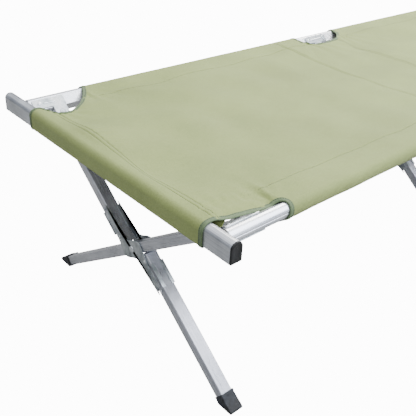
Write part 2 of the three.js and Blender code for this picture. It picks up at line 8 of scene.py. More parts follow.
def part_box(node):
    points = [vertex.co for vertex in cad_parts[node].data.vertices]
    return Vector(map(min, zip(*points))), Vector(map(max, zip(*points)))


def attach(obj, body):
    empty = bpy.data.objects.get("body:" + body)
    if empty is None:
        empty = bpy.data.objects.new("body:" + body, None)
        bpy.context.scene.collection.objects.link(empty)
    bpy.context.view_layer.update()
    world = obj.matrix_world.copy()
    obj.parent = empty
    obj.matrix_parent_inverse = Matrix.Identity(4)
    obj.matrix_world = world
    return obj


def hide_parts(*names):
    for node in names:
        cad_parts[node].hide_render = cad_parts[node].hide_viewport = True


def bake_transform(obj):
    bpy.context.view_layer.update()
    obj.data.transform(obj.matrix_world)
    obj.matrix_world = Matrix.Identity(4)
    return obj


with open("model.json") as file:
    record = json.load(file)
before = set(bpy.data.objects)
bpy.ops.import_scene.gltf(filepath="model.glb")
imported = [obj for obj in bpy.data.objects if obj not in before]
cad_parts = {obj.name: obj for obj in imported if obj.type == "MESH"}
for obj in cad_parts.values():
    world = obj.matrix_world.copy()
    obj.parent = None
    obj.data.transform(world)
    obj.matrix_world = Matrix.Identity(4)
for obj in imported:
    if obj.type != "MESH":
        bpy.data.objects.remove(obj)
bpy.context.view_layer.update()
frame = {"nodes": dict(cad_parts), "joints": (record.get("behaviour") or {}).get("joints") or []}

# ---- Camera, floor and studio light
# The camera looks down along the cot from beyond the near corner of the head end. The cot stands on a
# white paper sweep in a white room, under three large soft lamps.
CAMERA_AT = (-1.4202, -0.7859, 0.8737)
CAMERA_YAW = 0.8203
CAMERA_PITCH = -0.5484
CAMERA_ROLL = 0.0550
CAMERA_LENS = 52.47

scene = bpy.context.scene
look = np.array([np.cos(CAMERA_PITCH) * np.cos(CAMERA_YAW),
                 np.cos(CAMERA_PITCH) * np.sin(CAMERA_YAW), np.sin(CAMERA_PITCH)])
level = np.array([np.sin(CAMERA_YAW), -np.cos(CAMERA_YAW), 0.0])
above = np.cross(level, look)
camera_right = level * np.cos(CAMERA_ROLL) + above * np.sin(CAMERA_ROLL)
camera_up = above * np.cos(CAMERA_ROLL) - level * np.sin(CAMERA_ROLL)
turn = np.column_stack([camera_right, camera_up, -look])
camera = bpy.data.objects.new("camera", bpy.data.cameras.new("camera"))
camera.data.lens = CAMERA_LENS
camera.matrix_world = Matrix([[*row, at] for row, at in zip(turn.tolist(), CAMERA_AT)] + [[0, 0, 0, 1]])
scene.collection.objects.link(camera)
scene.camera = camera


def linear(code):
    """An sRGB hex colour as linear RGBA: each channel c becomes ((c + 0.055) / 1.055) ** 2.4."""
    channels = [int(code[i:i + 2], 16) / 255 for i in (1, 3, 5)]
    return [((c + 0.055) / 1.055) ** 2.4 if c > 0.04045 else c / 12.92 for c in channels] + [1.0]


def new_tree(name):
    """A material with an empty node tree."""
    made = bpy.data.materials.new(name)
    made.use_nodes = True
    made.node_tree.nodes.clear()
    return made, made.node_tree


def add(tree, kind, sockets=None, **settings):
    """Adds one shader node. Sockets maps an input to its value, or to the output that feeds it."""
    made = tree.nodes.new("ShaderNode" + kind)
    for name, value in settings.items():
        setattr(made, name, value)
    for name, value in (sockets or {}).items():
        if isinstance(value, bpy.types.NodeSocket):
            tree.links.new(value, made.inputs[name])
        else:
            made.inputs[name].default_value = value
    return made


def ramp(tree, factor, *stops):
    """A colour ramp with its stops given as (place, hex colour)."""
    made = add(tree, "ValToRGB", {"Fac": factor})
    while len(made.color_ramp.elements) < len(stops):
        made.color_ramp.elements.new(0.5)
    for element, (place, code) in zip(made.color_ramp.elements, stops):
        element.position = place
        element.color = linear(code)
    return made.outputs["Color"]


# A white room: bright overhead, duller towards the horizon, so that flat metal faces read as grey.
world = bpy.data.worlds.new("studio")
world.use_nodes = True
scene.world = world
sky = world.node_tree
sky.nodes.clear()
direction = add(sky, "TexCoord")
height = add(sky, "SeparateXYZ", {"Vector": direction.outputs["Generated"]})
lifted = add(sky, "MapRange", {"Value": height.outputs["Z"], "From Min": -1.0, "From Max": 1.0})
dome = ramp(sky, lifted.outputs["Result"],
            (0.0, "#6a6866"), (0.5, "#2f3035"), (0.68, "#5d6470"), (0.9, "#fbfdff"))
glow = add(sky, "Background", {"Color": dome, "Strength": 2.1})
# Straight to the camera the room is plain white, like the floor.
WHITE_GLOW = 16.0
wall = add(sky, "Background", {"Color": linear("#ffffff"), "Strength": WHITE_GLOW})
straight = add(sky, "LightPath")
room = add(sky, "MixShader",
           {"Fac": straight.outputs["Is Camera Ray"], 1: glow.outputs[0], 2: wall.outputs[0]})
add(sky, "OutputWorld", {"Surface": room.outputs[0]})

# The floor is a plain white sheet. What it sends back to the cot is a duller white than what is seen of it.
FLOOR_HALF = 9.0
floor_corners = [(FLOOR_HALF * x, FLOOR_HALF * y, 0.0) for x, y in ((-1, -1), (1, -1), (1, 1), (-1, 1))]
floor_mesh = bpy.data.meshes.new("floor")
floor_mesh.from_pydata(floor_corners, [], [(0, 1, 2, 3)])
floor = bpy.data.objects.new("floor", floor_mesh)
scene.collection.objects.link(floor)
paper, tree = new_tree("white paper sweep")
ray = add(tree, "LightPath")
matt = add(tree, "BsdfDiffuse", {"Color": linear("#949492")})
bright = add(tree, "Emission", {"Color": linear("#ffffff"), "Strength": WHITE_GLOW})
seen = add(tree, "Math", {0: ray.outputs["Is Camera Ray"], 1: 0.8}, operation="MULTIPLY")
both = add(tree, "MixShader", {"Fac": seen.outputs[0], 1: matt.outputs[0], 2: bright.outputs[0]})
add(tree, "OutputMaterial", {"Surface": both.outputs[0]})
floor_mesh.materials.append(paper)


def area_light(name, at, target, size, power, code):
    """A square lamp that faces its target."""
    lamp = bpy.data.lights.new(name, "AREA")
    lamp.size = size
    lamp.energy = power
    lamp.color = linear(code)[:3]
    made = bpy.data.objects.new(name, lamp)
    made.location = at
    made.rotation_euler = (Vector(at) - Vector(target)).to_track_quat("Z", "Y").to_euler()
    scene.collection.objects.link(made)


area_light("key", (1.3, 1.0, 2.1), (-0.3, 0.0, 0.4), 1.2, 60, "#fffaf0")
area_light("side", (0.6, -1.3, 2.0), (-0.6, -0.2, 0.3), 1.8, 62, "#f2f6ff")
area_light("fill", (0.2, -2.8, 1.2), (-0.5, 0.0, 0.3), 2.0, 26, "#eef4ff")


# ---- Side rails
# Two loaf-shaped aluminium extrusions a side, with fine ribs drawn along their flats by the die.
# Each side is rolled with its legs, so the arch points out along the leg and away from the pivot.
PIVOT = frame["joints"][0]["pos_m"][2]
CAD_NODES = frame["nodes"]
RAIL_Y = 0.288
RAIL_Z = 0.3968
BESIDE_PIVOT = 0.023  # the split legs lie this far beside the line through the pivot
RAIL_THICK = 0.024
RAIL_DEEP = 0.034
RAIL_DOME = 0.009
TUBE_WALL = 0.0016
RIB_PITCH = 0.0026
RIB_DEPTH = 0.00028
RAIL_GROOVE = 0.45  # one deeper line along the arch, radians off its crown
straight_lean = np.arctan2(RAIL_Y, RAIL_Z - PIVOT)
split_lean = straight_lean - np.arcsin(BESIDE_PIVOT * np.cos(straight_lean) / PIVOT)
ALONG = np.array([1.0, 0.0, 0.0])


def side_frame(name, sign, lean, beside):
    """Directions of one side: out runs up its legs from the pivot, inward lies square to that."""
    out = np.array([0.0, sign * np.sin(lean), np.cos(lean)])
    inward = np.array([0.0, -sign * np.cos(lean), np.sin(lean)])
    start = np.array([0.0, 0.0, PIVOT]) - beside * inward
    reach = (RAIL_Z - start[2]) / out[2]
    return {"name": name, "body": f"{name}_side", "sign": sign, "lean": lean, "out": out,
            "inward": inward, "reach": reach, "rail": start + reach * out}


NEAR = side_frame("near", -1, straight_lean, 0.0)
FAR = side_frame("far", 1, split_lean, BESIDE_PIVOT)


def on_rail(side, across=0.0, along=0.0, x=0.0):
    """A point of the rail's section, across its flats and along its arch, at one place along the cot."""
    return side["rail"] + across * side["inward"] + along * side["out"] + x * ALONG


def quads(rows, columns, wrap_rows=False, wrap_columns=False):
    """Faces of a grid of points numbered row by row. A wrap joins the last row or column to the first."""
    i = np.arange(rows if wrap_rows else rows - 1)[:, None]
    j = np.arange(columns if wrap_columns else columns - 1)[None, :]
    next_i, next_j = (i + 1) % rows, (j + 1) % columns
    corners = (i * columns + j, i * columns + next_j, next_i * columns + next_j, next_i * columns + j)
    return np.stack([c.ravel() for c in np.broadcast_arrays(*corners)], axis=1).tolist()


def merged(shells):
    """Several (points, faces, uv) shells as one, each set of faces counted on from the last."""
    starts = np.cumsum([0] + [len(points) for points, _, _ in shells[:-1]]).tolist()
    faces = [[corner + start for corner in face]
             for start, shell in zip(starts, shells) for face in shell[1]]
    return np.concatenate([s[0] for s in shells]), faces, np.concatenate([s[2] for s in shells])


def piece(name, shell, material, body, stands_for=(), crease=35.0):
    """A shell of points and faces as a Blender object that rides on a body and may stand for CAD nodes. Two
    faces that meet at more than the crease, in degrees, show a hard edge."""
    points, faces, uv = shell
    mesh = bpy.data.meshes.new(name)
    mesh.from_pydata(points.tolist(), [], faces)
    layer = mesh.uv_layers.new(name="surface")
    at = np.empty(len(mesh.loops), np.int32)
    mesh.loops.foreach_get("vertex_index", at)
    layer.data.foreach_set("uv", uv[at].astype(np.float32).ravel())
    work = bmesh.new()
    work.from_mesh(mesh)
    bmesh.ops.remove_doubles(work, verts=work.verts, dist=2e-6)
    bmesh.ops.dissolve_degenerate(work, edges=work.edges, dist=1e-6)
    bmesh.ops.recalc_face_normals(work, faces=work.faces)
    work.to_mesh(mesh)
    work.free()
    mesh.shade_smooth()
    mesh.set_sharp_from_angle(angle=np.radians(crease))
    mesh.materials.append(material)
    made = bpy.data.objects.new(name, mesh)
    scene.collection.objects.link(made)
    if body:
        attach(made, body)
    if stands_for:
        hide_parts(*stands_for)
    return made


def section(runs, wall, arch_rib=0.0, groove=None):
    """Outer and inner outline of an extrusion, anticlockwise. A run is a straight (start, end) or an arc
    (middle, radius, from, to). Along a run the outer face sinks by depth * (1 - cos) / 2 once for each rib,
    and a groove sinks an arch by a Gaussian of the distance to its line."""
    outer, inner = [], []
    for run in runs:
        arc = len(run) == 4
        if arc:
            middle, radius, first, last = run
            length = radius * (last - first)
        else:
            start, end = (np.array(p) for p in run)
            length = np.linalg.norm(end - start)
        ribs = int(round(length / RIB_PITCH)) if length > 3 * RIB_PITCH else 0
        count = max(6 * ribs, 5)
        share = np.arange(count) / count
        if arc:
            angle = first + share * (last - first)
            normal = np.column_stack([np.cos(angle), np.sin(angle)])
            base = np.array(middle) + radius * normal
        else:
            heading = (end - start) / length
            normal = np.tile([heading[1], -heading[0]], (count, 1))
            base = start + share[:, None] * (end - start)
        depth = (arch_rib if arc else RIB_DEPTH) * (0.5 - 0.5 * np.cos(2 * np.pi * ribs * share))
        if arc and groove is not None and ribs:
            depth = depth + 0.0006 * np.exp(-((angle - np.pi / 2 - groove) * radius / 0.0007) ** 2)
        outer.append(base - depth[:, None] * normal)
        inner.append(base - wall * normal)
    return np.concatenate(outer), np.concatenate(inner)


def loaf_runs(thick, deep, dome, corner):
    """A section with flat base and sides and an arched top, centred on its depth."""
    half, base, shoulder = thick / 2, -deep / 2, deep / 2 - dome
    radius = (half * half + dome * dome) / (2 * dome)
    spread = np.arcsin(half / radius)
    return [((corner - half, base), (half - corner, base)),
            ((half - corner, base + corner), corner, -np.pi / 2, 0.0),
            ((half, base + corner), (half, shoulder)),
            ((0.0, deep / 2 - radius), radius, np.pi / 2 - spread, np.pi / 2 + spread),
            ((-half, shoulder), (-half, base + corner)),
            ((corner - half, base + corner), corner, np.pi, 1.5 * np.pi)]


def extrusion(outline, at, x, y, length, slope=0.0, start_slope=0.0, nick=0.0004):
    """A hollow section carried straight along x cross y. Its far end lies on the plane
    z = length + slope * y, and its near end on z = start_slope * y. Rings go out over both ends' small
    chamfers and back down the bore, and wrap into a closed tube."""
    outer, inner = outline
    eased = outer + nick * (inner - outer) / np.linalg.norm(inner - outer, axis=1)[:, None]
    far = length + slope * outer[:, 1]
    near = start_slope * outer[:, 1]
    rings = [(eased, near), (outer, near + nick), (outer, far - nick),
             (eased, far), (inner, far), (inner, near)]
    local = np.concatenate([np.column_stack([ring, z]) for ring, z in rings])
    z_axis = np.cross(x, y)
    points = np.asarray(at) + local @ np.stack([x, y, z_axis])
    gone = np.concatenate([[0.0], np.cumsum(np.linalg.norm(np.diff(outer, axis=0), axis=1))])
    uv = np.column_stack([np.tile(gone, len(rings)), local[:, 2]])
    return points, quads(len(rings), len(outer), True, True), uv


def aluminium(name, low, high, rough):
    """Mill-finished aluminium extrusion: bright metal with a grey oxide bloom, drawn out in streaks along
    the tube by the die. The streaks read the surface's own map, in metres round and along the tube."""
    made, tree = new_tree(name)
    place = add(tree, "TexCoord")
    drawn = add(tree, "Mapping", {"Vector": place.outputs["UV"], "Scale": (900.0, 9.0, 1.0)})
    streaks = add(tree, "TexNoise", {"Vector": drawn.outputs["Vector"], "Scale": 1.0, "Detail": 5.0})
    bloom = add(tree, "TexNoise", {"Vector": place.outputs["Object"], "Scale": 22.0, "Detail": 4.0})
    mixed = add(tree, "Math", {0: streaks.outputs["Fac"], 1: bloom.outputs["Fac"]}, operation="ADD")
    half = add(tree, "Math", {0: mixed.outputs[0], 1: 0.5}, operation="MULTIPLY")
    colour = ramp(tree, half.outputs[0], (0.38, low), (0.62, high))
    haze = add(tree, "MapRange", {"Value": half.outputs[0], "From Min": 0.35, "From Max": 0.65,
                                  "To Min": rough - 0.07, "To Max": rough + 0.08})
    scratch = add(tree, "Bump", {"Height": streaks.outputs["Fac"], "Strength": 0.12, "Distance": 0.0004})
    metal = add(tree, "BsdfPrincipled", {"Base Color": colour, "Metallic": 0.86,
                                         "Roughness": haze.outputs[0], "Normal": scratch.outputs["Normal"]})
    add(tree, "OutputMaterial", {"Surface": metal.outputs[0]})
    return made


# The rails' colour is near white, lighter than the same aluminium on the bars and legs. It is the metal's
# own grey with a painted reflection of the bright sky on the rail tops added in.
rail_metal_with_painted_reflection = aluminium("mill-finished aluminium rail with painted sky reflection", "#e2e6ee", "#fafcff", 0.3)
rail_outline = section(loaf_runs(RAIL_THICK, RAIL_DEEP, RAIL_DOME, TUBE_WALL), TUBE_WALL, groove=RAIL_GROOVE)
for side in (NEAR, FAR):
    for half in ("head", "foot"):
        node = f"{side['name']}_rail_{half}"
        low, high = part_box(node)
        tube = extrusion(rail_outline, on_rail(side, x=low.x), -side["sign"] * side["inward"],
                         side["out"], high.x - low.x)
        piece(f"{node}_tube", tube, rail_metal_with_painted_reflection, side["body"], [node])

# ---- End bars
# Loaf-shaped aluminium extrusions like the rails, standing upright, one across each end of the cot.
# Two holes drilled in the inner face hang each bar on the rail pins.
BAR_THICK = 0.022
BAR_DEEP = 0.035
BAR_DOME = 0.0105
PIN_HOLE = 0.0048
DRILL_REACH = 0.006
bar_outline = section(loaf_runs(BAR_THICK, BAR_DEEP, BAR_DOME, TUBE_WALL), TUBE_WALL, arch_rib=RIB_DEPTH / 2)
bar_metal = aluminium("mill-finished aluminium bar", "#b9bcc2", "#e2e5ea", 0.38)


def cut_with(made, cutter):
    """Takes a closed cutter shape out of a piece and removes the cutter."""
    boolean = made.modifiers.new("hole", "BOOLEAN")
    boolean.object = cutter
    boolean.solver = "EXACT"
    bpy.context.view_layer.update()
    result = bpy.data.meshes.new_from_object(made.evaluated_get(bpy.context.evaluated_depsgraph_get()))
    made.modifiers.clear()
    made.data = result
    bpy.data.objects.remove(cutter)


def rod(at, axis, profile, turns=32):
    """A turned shape: its profile of (along, radius) points carried round an axis through a point."""
    axis = np.asarray(axis, float)
    first = np.cross(axis, [0.31, 0.52, 0.79])
    first /= np.linalg.norm(first)
    second = np.cross(axis, first)
    angle = np.arange(turns) * 2 * np.pi / turns
    around = np.cos(angle)[:, None] * first + np.sin(angle)[:, None] * second
    profile = np.asarray(profile, float)
    points = np.asarray(at) + profile[:, None, :1] * axis + profile[:, None, 1:] * around[None]
    uv = np.column_stack([np.tile(angle, len(profile)) * 0.005, np.repeat(profile[:, 0], turns)])
    return points.reshape(-1, 3), quads(len(profile), turns, False, True), uv


for end, sign in (("head", -1), ("foot", 1)):
    node = f"{end}_bar"
    low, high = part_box(node)
    middle = ((low.x + high.x) / 2, high.y, (low.z + high.z) / 2)
    tube = extrusion(bar_outline, middle, ALONG, np.array([0.0, 0.0, 1.0]), high.y - low.y)
    bar = piece(f"{node}_tube", tube, bar_metal, None, [node])
    inner_face = low.x if sign > 0 else high.x
    bit = [(-DRILL_REACH, 0.0), (-DRILL_REACH, PIN_HOLE), (DRILL_REACH, PIN_HOLE), (DRILL_REACH, 0.0)]
    for side in (NEAR, FAR):
        at = (inner_face, side["rail"][1], side["rail"][2])
        cut_with(bar, piece("drill", rod(at, ALONG, bit), bar_metal, None))
    bar.data.set_sharp_from_angle(angle=np.radians(35))
    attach(bar, node)

# ---- End caps
# Moulded polypropylene caps, pressed into the sawn ends of the bars. A flange with a rounded rim covers
# the end, and a hidden plug behind it grips the bore.
CAP_FLANGE = 0.003
CAP_RIM = 0.0016


def plastic(name, dark, light, rough, grain):
    """Moulded plastic or rubber, with the mould's fine spark texture and a little dust in the grain."""
    made, tree = new_tree(name)
    place = add(tree, "TexCoord")
    spark = add(tree, "TexNoise", {"Vector": place.outputs["Object"], "Scale": grain, "Detail": 3.0})
    dust = add(tree, "TexNoise", {"Vector": place.outputs["Object"], "Scale": 60.0, "Detail": 5.0})
    colour = ramp(tree, dust.outputs["Fac"], (0.4, dark), (0.68, light))
    haze = add(tree, "MapRange", {"Value": dust.outputs["Fac"], "From Min": 0.3, "From Max": 0.7,
                                  "To Min": rough - 0.08, "To Max": rough + 0.1})
    relief = add(tree, "Bump", {"Height": spark.outputs["Fac"], "Strength": 0.25, "Distance": 0.0003})
    moulded = add(tree, "BsdfPrincipled", {"Base Color": colour, "Roughness": haze.outputs[0],
                                           "Normal": relief.outputs["Normal"]})
    add(tree, "OutputMaterial", {"Surface": moulded.outputs[0]})
    return made


cap_plastic = plastic("moulded black polypropylene", "#08090b", "#17181c", 0.42, 1800.0)
cap_outline = bar_outline[0]
# Rings as (how far behind the outer face, how far inside the section's edge).
CAP_RINGS = [(0.0006, 0.012), (0.0006, 0.0052), (0.0, 0.0040), (0.0, CAP_RIM), (0.00045, CAP_RIM * 0.3),
             (CAP_RIM, 0.0), (CAP_FLANGE, 0.0), (CAP_FLANGE, 0.0021), (0.016, 0.0021), (0.016, 0.012)]
for end in ("head", "foot"):
    for where, sign in (("near", -1), ("far", 1)):
        node = f"{end}_bar_cap_{where}"
        low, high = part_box(node)
        outer_y = low.y if sign < 0 else high.y
        middle = np.array([(low.x + high.x) / 2, outer_y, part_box(f"{end}_bar")[0].z + BAR_DEEP / 2])
        rings = []
        for behind, inset in CAP_RINGS:
            ring = cap_outline * np.maximum(1 - inset / np.array([BAR_THICK / 2, BAR_DEEP / 2]), 0.0)
            rings.append(np.column_stack([ring[:, 0], np.full(len(ring), -sign * behind), ring[:, 1]]))
        points = middle + np.concatenate(rings)
        cap = (points, quads(len(rings), len(cap_outline), False, True), points[:, [0, 2]])
        piece(f"{node}_moulding", cap, cap_plastic, f"{end}_bar", [node])

# ---- Rail plugs
# Moulded polypropylene plugs close the four outer rail ends, and their round pins carry the end bars.
# They are driven in at the factory and sit almost wholly out of sight, so the CAD shapes stay.
for side in (NEAR, FAR):
    for end in ("head", "foot"):
        plug = CAD_NODES[f"{side['name']}_plug_{end}"]
        plug.data.materials.clear()
        plug.data.materials.append(cap_plastic)

# ---- Legs
# Rounded rectangular aluminium tubes, ribbed on all four faces. The straight leg of each X runs whole from
# the near rail to the far foot. The split leg is two tubes set off to either side of the pivot.
LEG_DEEP = 0.026
LEG_WIDE = 0.022
LEG_CORNER = 0.003
LEG_WALL = 0.0015
LEG_TOP = 0.0182  # middle of the rail down to the end of a leg
SOLE = 0.003
SPLIT_CLEAR = 0.0034
LEG_X = {"head": -0.865, "middle": -0.053, "foot": 0.865}


def box_runs(wide, deep, corner):
    """A rounded rectangle of four straight runs and four quarter turns."""
    x, y, c = wide / 2, deep / 2, corner
    return [((c - x, -y), (x - c, -y)), ((x - c, c - y), c, -np.pi / 2, 0.0),
            ((x, c - y), (x, y - c)), ((x - c, y - c), c, 0.0, np.pi / 2),
            ((x - c, y), (c - x, y)), ((c - x, y - c), c, np.pi / 2, np.pi),
            ((-x, y - c), (-x, c - y)), ((c - x, c - y), c, np.pi, 1.5 * np.pi)]


leg_outline = section(box_runs(LEG_DEEP, LEG_WIDE, LEG_CORNER), LEG_WALL)
leg_metal = aluminium("mill-finished aluminium leg", "#b7b9c1", "#dcdee6", 0.32)
crossing = np.pi - straight_lean - split_lean
cut_side = (BESIDE_PIVOT + LEG_WIDE / 2) * np.cos(crossing)
split_start = (LEG_WIDE / 2 + SPLIT_CLEAR + cut_side) / np.sin(crossing)
MITRE = 1 / np.tan(crossing)  # the split tubes' inner ends are sawn to the lie of the straight leg


def leg_axes(side):
    """Down a leg, and the direction across it that makes a right-handed set with the cot's length."""
    down = -side["out"]
    return down, np.cross(down, ALONG)


def to_height(at, down, height):
    """How far down a leg a level plane cuts its middle, and the plane's slope across the leg."""
    return (at[2] - height) / -down[2], down[1] / down[2]


feet = []
for where, x in LEG_X.items():
    down, across = leg_axes(NEAR)
    top = on_rail(NEAR, along=-LEG_TOP, x=x)
    length, slope = to_height(top, down, SOLE)
    tube = extrusion(leg_outline, top, ALONG, across, length, slope)
    piece(f"straight_leg_{where}_tube", tube, leg_metal, "near_side", [f"straight_leg_{where}"])
    feet.append((f"straight_boot_{where}", "near_side", top, down, across))
    down, across = leg_axes(FAR)
    top = on_rail(FAR, along=-LEG_TOP, x=x)
    mitred_start = split_start - MITRE * LEG_WIDE / 2
    tube = extrusion(leg_outline, top, ALONG, across, FAR["reach"] - LEG_TOP - mitred_start, MITRE)
    piece(f"upper_leg_{where}_tube", tube, leg_metal, "far_side", [f"upper_leg_{where}"])
    top = np.array([x, 0.0, PIVOT]) + BESIDE_PIVOT * FAR["inward"] + mitred_start * down
    length, slope = to_height(top, down, SOLE)
    tube = extrusion(leg_outline, top, ALONG, across, length, slope, MITRE)
    piece(f"lower_leg_{where}_tube", tube, leg_metal, "far_side", [f"lower_leg_{where}"])
    feet.append((f"lower_boot_{where}", "far_side", top, down, across))

# ---- Boots
# Black rubber mouldings pushed over the leg ends. Their soles lie level on the ground, and a thin lip runs
# round the top.
BOOT_LENGTH = 0.028
BOOT_TOE = 0.010  # the sharp side of the slanted sole is blunted this far past its middle
boot_rubber = plastic("moulded black rubber", "#17181a", "#3c3f45", 0.62, 1300.0)
half_leg = np.array([LEG_DEEP / 2, LEG_WIDE / 2])
boot_base = leg_outline[1] * half_leg / (half_leg - LEG_WALL)  # the leg's bore scaled up, without its ribs
# Rings as (share of the way from the top to the sole, wall outside the leg).
BOOT_RINGS = [(0.0, -0.010), (0.0, -0.0006), (0.0, 0.0014), (0.02, 0.0019), (0.09, 0.0019), (0.13, 0.0013),
              (0.5, 0.0016), (0.86, 0.0019), (0.95, 0.0018), (0.985, 0.0012), (1.0, 0.0), (1.0, -0.010)]
for node, body, top, down, across in feet:
    floor_at, slope = to_height(top, down, 0.0)
    start = floor_at - BOOT_LENGTH
    rings = []
    for share, wall in BOOT_RINGS:
        ring = boot_base * (1 + wall / half_leg)
        sole = np.minimum(floor_at + slope * ring[:, 1], floor_at + BOOT_TOE)
        rings.append(np.column_stack([ring, start + share * (sole - start)]))
    local = np.concatenate(rings)
    points = top + local @ np.stack([ALONG, across, down])
    boot = (points, quads(len(BOOT_RINGS), len(boot_base), False, True), local[:, [0, 2]])
    piece(f"{node}_moulding", boot, boot_rubber, body, [node])

# ---- Plates of the crossed legs
# Stamped steel, zinc plated and dulled to a dark grey. An arm runs up beside the upper tube and one down
# beside the lower, flanges fold over the tubes, and pressed beads stiffen the arms.
PLATE_THICK = 0.002
PLATE_REACH = 0.106
PLATE_WAIST = 0.015
PLATE_NECK = 0.044
FLANGE_THICK = 0.0014
FLANGE_DEEP = 0.006
FLANGE_START = 0.046
FLANGE_END = 0.096
PLATE_GAP = 0.0003
ARM_RIVETS = [(BESIDE_PIVOT, 0.099), (BESIDE_PIVOT - 0.002, 0.036)]
ARM_BEAD_OFF = 0.0032  # the two beads of an arm lie this far either side of its middle line
ARM_BEAD = (0.048, 0.090)
arm_half = LEG_WIDE / 2 + PLATE_GAP + FLANGE_THICK


def rounded(points, radius, steps=5):
    """An outline with its corners eased: each corner becomes a quadratic curve between two points on its
    edges, no further than the radius from it, or than 45 % of the shorter edge."""
    points = np.asarray(points, float)
    made = []
    for before, at, after in zip(np.roll(points, 1, 0), points, np.roll(points, -1, 0)):
        reach = min(radius, 0.45 * np.linalg.norm(before - at), 0.45 * np.linalg.norm(after - at))
        first = at + reach * (before - at) / np.linalg.norm(before - at)
        last = at + reach * (after - at) / np.linalg.norm(after - at)
        t = np.linspace(0, 1, steps)[:, None]
        made.append((1 - t) ** 2 * first + 2 * t * (1 - t) * at + t ** 2 * last)
    return np.concatenate(made)


def stamping(outline, thick, at, x, y, edge=0.0004):
    """A flat blank of that outline, from z 0 to its thickness along x cross y, with eased edges. Each edge
    ring is moved in along the outline's own normal."""
    ahead, behind = np.roll(outline, -1, 0), np.roll(outline, 1, 0)
    tangent = ahead - behind
    normal = np.column_stack([tangent[:, 1], -tangent[:, 0]]) / np.linalg.norm(tangent, axis=1)[:, None]
    levels = [(0.0, edge), (edge, 0.0), (thick - edge, 0.0), (thick, edge)]
    local = np.concatenate([np.column_stack([outline - inset * normal, np.full(len(outline), z)])
                            for z, inset in levels])
    faces = quads(4, len(outline), False, True)
    faces.append(list(range(len(outline)))[::-1])
    faces.append(list(range(3 * len(outline), 4 * len(outline))))
    return np.asarray(at) + local @ np.stack([x, y, np.cross(x, y)]), faces, local[:, :2]


def bead(first, last, width, height, at, x, y):
    """A pressed bead from one point of a plate to another: a stadium whose height is
    height * sqrt(1 - r * r), r being 0 on its middle line and 1 at its edge."""
    first, last = np.asarray(first, float), np.asarray(last, float)
    heading = (last - first) / np.linalg.norm(last - first)
    square = np.array([-heading[1], heading[0]])
    angle = np.linspace(-np.pi / 2, 1.5 * np.pi, 33)[:-1]
    ends = np.where((np.cos(angle) >= -1e-9)[:, None], last, first)
    r = np.array([1.0, 0.94, 0.8, 0.55, 0.25, 0.0])
    spoke = np.cos(angle)[:, None] * heading + np.sin(angle)[:, None] * square
    ring = ends[None] + (width / 2) * r[:, None, None] * spoke[None]
    z = np.broadcast_to((height * np.sqrt(1 - r ** 2))[:, None], ring.shape[:2])
    local = np.concatenate([ring, z[..., None]], axis=2).reshape(-1, 3)
    points = np.asarray(at) + local @ np.stack([x, y, np.cross(x, y)])
    return points, quads(len(r), len(angle), False, True), local[:, :2]


def steel(name, low, high, spot, rough):
    """Zinc-plated steel: grey metal clouded by the plating's crystals, with darker handling marks."""
    made, tree = new_tree(name)
    place = add(tree, "TexCoord")
    crystals = add(tree, "TexVoronoi", {"Vector": place.outputs["Object"], "Scale": 320.0})
    clouds = add(tree, "TexNoise", {"Vector": place.outputs["Object"], "Scale": 55.0, "Detail": 6.0})
    colour = ramp(tree, clouds.outputs["Fac"], (0.3, spot), (0.45, low), (0.66, high))
    shade = add(tree, "MapRange", {"Value": crystals.outputs["Color"], "To Min": 0.85, "To Max": 1.08})
    tinted = add(tree, "Mix", {0: 1.0, 6: colour, 7: shade.outputs[0]},
                 data_type="RGBA", blend_type="MULTIPLY")
    haze = add(tree, "MapRange", {"Value": clouds.outputs["Fac"], "From Min": 0.3, "From Max": 0.7,
                                  "To Min": rough + 0.1, "To Max": rough - 0.06})
    relief = add(tree, "Bump", {"Height": clouds.outputs["Fac"], "Strength": 0.15, "Distance": 0.0005})
    metal = add(tree, "BsdfPrincipled", {"Base Color": tinted.outputs[2], "Metallic": 0.86,
                                         "Roughness": haze.outputs[0], "Normal": relief.outputs["Normal"]})
    add(tree, "OutputMaterial", {"Surface": metal.outputs[0]})
    return made


dull_steel = steel("dulled zinc-plated steel", "#aeb5b8", "#c9cfd2", "#8d9497", 0.38)
bright_steel = steel("bright zinc-plated steel", "#d3dadd", "#f2f5f6", "#aeb6ba", 0.3)
arm_in, arm_out = BESIDE_PIVOT - arm_half, BESIDE_PIVOT + arm_half
upper_half = [(arm_in, PLATE_REACH), (arm_in, PLATE_NECK), (arm_in / 3, 0.0245), (-arm_in, PLATE_WAIST),
              (0.008 - arm_out, PLATE_WAIST - 0.008), (-arm_out, PLATE_WAIST - 0.016)]
plate_outline = rounded(upper_half + [(-x, -y) for x, y in upper_half], 0.006)
if np.cross(plate_outline, np.roll(plate_outline, -1, 0)).sum() < 0:
    plate_outline = plate_outline[::-1]


def rivet(at, axis, radius, height):
    """A domed rivet head on a plate: a low collar and a dome, turned round the rivet's axis."""
    return rod(at, axis, [(-0.0004, 0.0), (-0.0004, radius * 1.12), (height * 0.16, radius * 1.12),
                          (height * 0.26, radius * 0.98), (height * 0.62, radius * 0.86),
                          (height * 0.88, radius * 0.6), (height, radius * 0.3), (height, 0.0)], 20)


